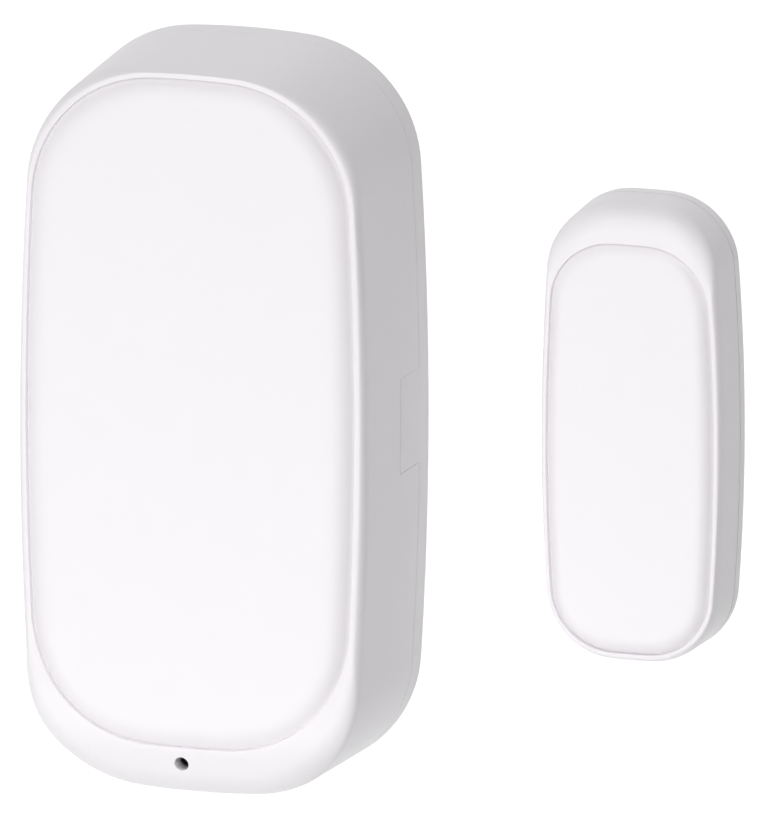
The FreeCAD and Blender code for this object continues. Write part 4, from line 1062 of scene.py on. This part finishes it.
low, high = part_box("bulk_capacitor")
middle = Vector(((low[0] + high[0]) / 2 / MM, low[1] / MM, (low[2] + high[2]) / 2 / MM))
tall = (high[1] - low[1]) / MM
radius = (high[0] - low[0]) / 2 / MM - CAN_INSIDE_BASE
# From the base over the crimped waist to the shoulder and the sunk top.
profile = [(0.05, BASE_TALL), (radius - 0.5, BASE_TALL), (radius - 0.15, BASE_TALL + 0.12),
           (radius - 0.02, BASE_TALL + 0.45), (radius - 0.28, BASE_TALL + 0.85),
           (radius, BASE_TALL + 1.25), (radius, tall - 1.6)]
profile += quarter(radius - SHOULDER, tall - SHOULDER, SHOULDER, 0)
profile += [(radius * 0.75, tall), (radius * 0.70, tall - 0.05), (0.05, tall - 0.05)]
can = turned("capacitor_can", profile, middle, "Y", 56)
soften(can, 0)
dress(can, "capacitor_aluminium", "front_case", "bulk_capacitor")

# %% Capacitor base
BASE_CORNER = 0.7
# The base is a hair narrower than the exact part, so that it stays inside its box.
BASE_SHARE = 0.999

half = Vector(((high[0] - low[0]) / 2 / MM * BASE_SHARE, 0, (high[0] - low[0]) / 2 / MM * BASE_SHARE))
base = box_between(middle - half, middle + half + Vector((0, BASE_TALL, 0)))
base.name = "capacitor_base"
bevel_corners(base, BASE_CORNER, 1)
soften(base, 0.08)
dress(base, "chip_epoxy", "front_case")


# %% [markdown]
# Copper on the board. Tinned rings surround the screws, the contacts' legs and the reed switch's
# leads, and traces run under the green mask along both edges. A trace is grown like the shells: a
# small square section is extruded from corner to corner of its route.

# %% Pad and trace helpers
BOARD_BACK = -13.9
# Pads and traces start this far inside the board, so that no gap shows under them.
SUNK = -0.02
PAD_THICK = 0.05
TRACE_THICK = 0.035


def pad_ring(name, across, up, outer, inner):
    """A flat tinned ring on the back of the board."""
    middle = Vector((across, BOARD_BACK, up))
    rows = [(inner, SUNK), (inner, PAD_THICK), (outer - 0.06, PAD_THICK), (outer, SUNK)]
    return turned(name, rows, middle, "Y", 28)


def trace(name, route, wide):
    """A raised trace under the mask through the points of its route, across and up the board."""
    points = [Vector(point) for point in route]
    rings = []
    for number, point in enumerate(points):
        before = points[max(number - 1, 0)]
        after = points[min(number + 1, len(points) - 1)]
        entering = (point - before).normalized() if number else (after - point).normalized()
        leaving = (after - point).normalized() if number < len(points) - 1 else entering
        along = (entering + leaving).normalized()
        side = Vector((-along.y, along.x)) * (wide / 2 / max(along.dot(entering), 0.5))
        ring = []
        for share, depth in ((-1, SUNK), (1, SUNK), (1, TRACE_THICK), (-1, TRACE_THICK)):
            ring.append(Vector((point.x + side.x * share, BOARD_BACK + depth, point.y + side.y * share)) * MM)
        rings.append(ring)
    return grow(name, rings)


def joined(name, parts):
    """Several new pieces as one."""
    bpy.ops.object.select_all(action="DESELECT")
    for part in parts:
        part.select_set(True)
    bpy.context.view_layer.objects.active = parts[0]
    bpy.ops.object.join()
    parts[0].name = name
    return parts[0]


# %% Pads
# Places are across and up the board. A pad has an outer and an inner radius.
SCREW_PAD = (2.3, 0.95)
SCREWS = ((-7.6, 29.2), (7.6, 29.2), (-9.6, -27.0), (9.6, -27.0))
LEG_PAD = (0.62, 0.26)
LEGS = (
    (13.2, 9.0), (13.2, -9.0), (-13.0, 14.0), (-13.0, 10.5), (-13.0, 7.0), (-13.0, -12.0),
    (12.9, 20.0), (12.9, 23.0), (12.9, -20.0), (4.2, 30.6), (-3.8, -29.8), (4.0, -31.0),
)
THROUGH_PAD = (0.30, 0.12)
THROUGH_HOLES = (
    (-12.3, 3.0), (-13.6, 1.0), (-12.4, -3.5), (-13.4, -7.5), (-12.2, -16.0), (-13.5, -19.5), (12.3, 15.5),
    (13.7, 17.0), (12.4, -14.5), (13.6, -16.5), (0.8, 30.9), (-1.6, 28.4), (2.6, 28.2), (-5.6, -31.2),
)

rings = []
for places, (outer, inner) in ((SCREWS, SCREW_PAD), (LEGS, LEG_PAD), (THROUGH_HOLES, THROUGH_PAD)):
    rings += [pad_ring("ring", x, z, outer, inner) for x, z in places]
pads = joined("board_pads", rings)
soften(pads, 0)
dress(pads, "reed_lead_metal", "front_case")

# %% Traces
FINE_TRACE = 0.25
FINE_ROUTES = (
    ((-13.0, 14.0), (-13.0, 12.6), (-12.4, 12.0), (-12.4, 4.0), (-12.3, 3.0)),
    ((-13.0, 10.5), (-13.6, 9.9), (-13.6, 1.0)),
    ((-13.0, 7.0), (-13.0, -1.0), (-12.4, -1.6), (-12.4, -3.5)),
    ((-13.6, 1.0), (-13.6, -3.0), (-13.4, -3.2), (-13.4, -7.5)),
    ((-13.0, -12.0), (-12.2, -12.8), (-12.2, -16.0)),
    ((-13.4, -7.5), (-13.4, -10.4), (-13.9, -10.9), (-13.9, -18.6), (-13.5, -19.5)),
)
WIDE_TRACE = 0.30
WIDE_ROUTES = (
    ((13.2, 9.0), (13.2, 12.0), (12.3, 12.9), (12.3, 15.5)),
    ((12.9, 20.0), (13.7, 19.2), (13.7, 17.0)),
    ((12.9, 23.0), (14.0, 21.9), (14.0, 12.6), (13.4, 12.0)),
    ((13.2, -9.0), (13.2, -12.6), (12.4, -13.4), (12.4, -14.5)),
    ((12.9, -20.0), (13.6, -19.3), (13.6, -16.5)),
    ((4.2, 30.6), (3.6, 31.2), (1.4, 31.2), (0.8, 30.9)),
    ((-1.6, 28.4), (-0.8, 29.2), (1.8, 29.2), (2.6, 28.2)),
    ((-3.8, -29.8), (-4.6, -30.6), (-5.6, -31.2)),
)

lines = [trace("line", route, FINE_TRACE) for route in FINE_ROUTES]
lines += [trace("line", route, WIDE_TRACE) for route in WIDE_ROUTES]
traces = joined("board_traces", lines)
soften(traces, 0)
dress(traces, "board_laminate", "front_case", paint=copper_mask)


# %% [markdown]
# Bosses and ribs. Inside the mouldings stand the features that hold things: four round bosses that
# the board's screws bite into, a frame that keeps the bar magnet in its place, and a rib on the magnet
# unit's cover that presses on it. They never show from outside, so they are finished plainly.

# %% Screw bosses
# The profile of a boss is its radius and its place behind the board's front, up the hole and down
# the outside.
BOARD_FRONT = -14.7
BOSS_PROFILE = ((0.62, -2.5), (0.62, -0.15), (0.75, 0.0), (1.80, 0.0), (1.90, -0.10), (1.90, -2.9))

posts = [turned("boss", BOSS_PROFILE, Vector((x, BOARD_FRONT, z)), "Y", 28) for x, z in SCREWS]
bosses = joined("screw_bosses", posts)
soften(bosses, 0)
dress(bosses, "case_abs", "front_case")

# %% Magnet frame and rib
MAGNET_GAP = 0.08
MAGNET_RIB = 0.9
# From the magnet's front face: the frame's front and rear, and the longer cutter of its hole.
FRAME_DEEP = (-0.3, 2.4)
HOLE_DEEP = (-1.0, 3.0)
# The width, depth and height of the rib on the cover.
PRESS_RIB = Vector((4.0, 1.6, 18.0))

low, high = [Vector(corner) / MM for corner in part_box("bar_magnet")]
outside = MAGNET_GAP + MAGNET_RIB
holder = box_between(Vector((low.x - outside, low.y + FRAME_DEEP[0], low.z - outside)),
                     Vector((high.x + outside, low.y + FRAME_DEEP[1], high.z + outside)))
hole = box_between(Vector((low.x - MAGNET_GAP, low.y + HOLE_DEEP[0], low.z - MAGNET_GAP)),
                   Vector((high.x + MAGNET_GAP, low.y + HOLE_DEEP[1], high.z + MAGNET_GAP)))
cut_with(holder, hole)
holder.name = "magnet_frame"
soften(holder, 0.15)
dress(holder, "case_abs", "magnet_unit")

middle = (low + high) / 2
corner = Vector((middle.x - PRESS_RIB.x / 2, high.y, middle.z - PRESS_RIB.z / 2))
rib = box_between(corner, corner + PRESS_RIB)
rib.name = "magnet_press_rib"
soften(rib, 0.2)
dress(rib, "case_abs", "magnet_unit")
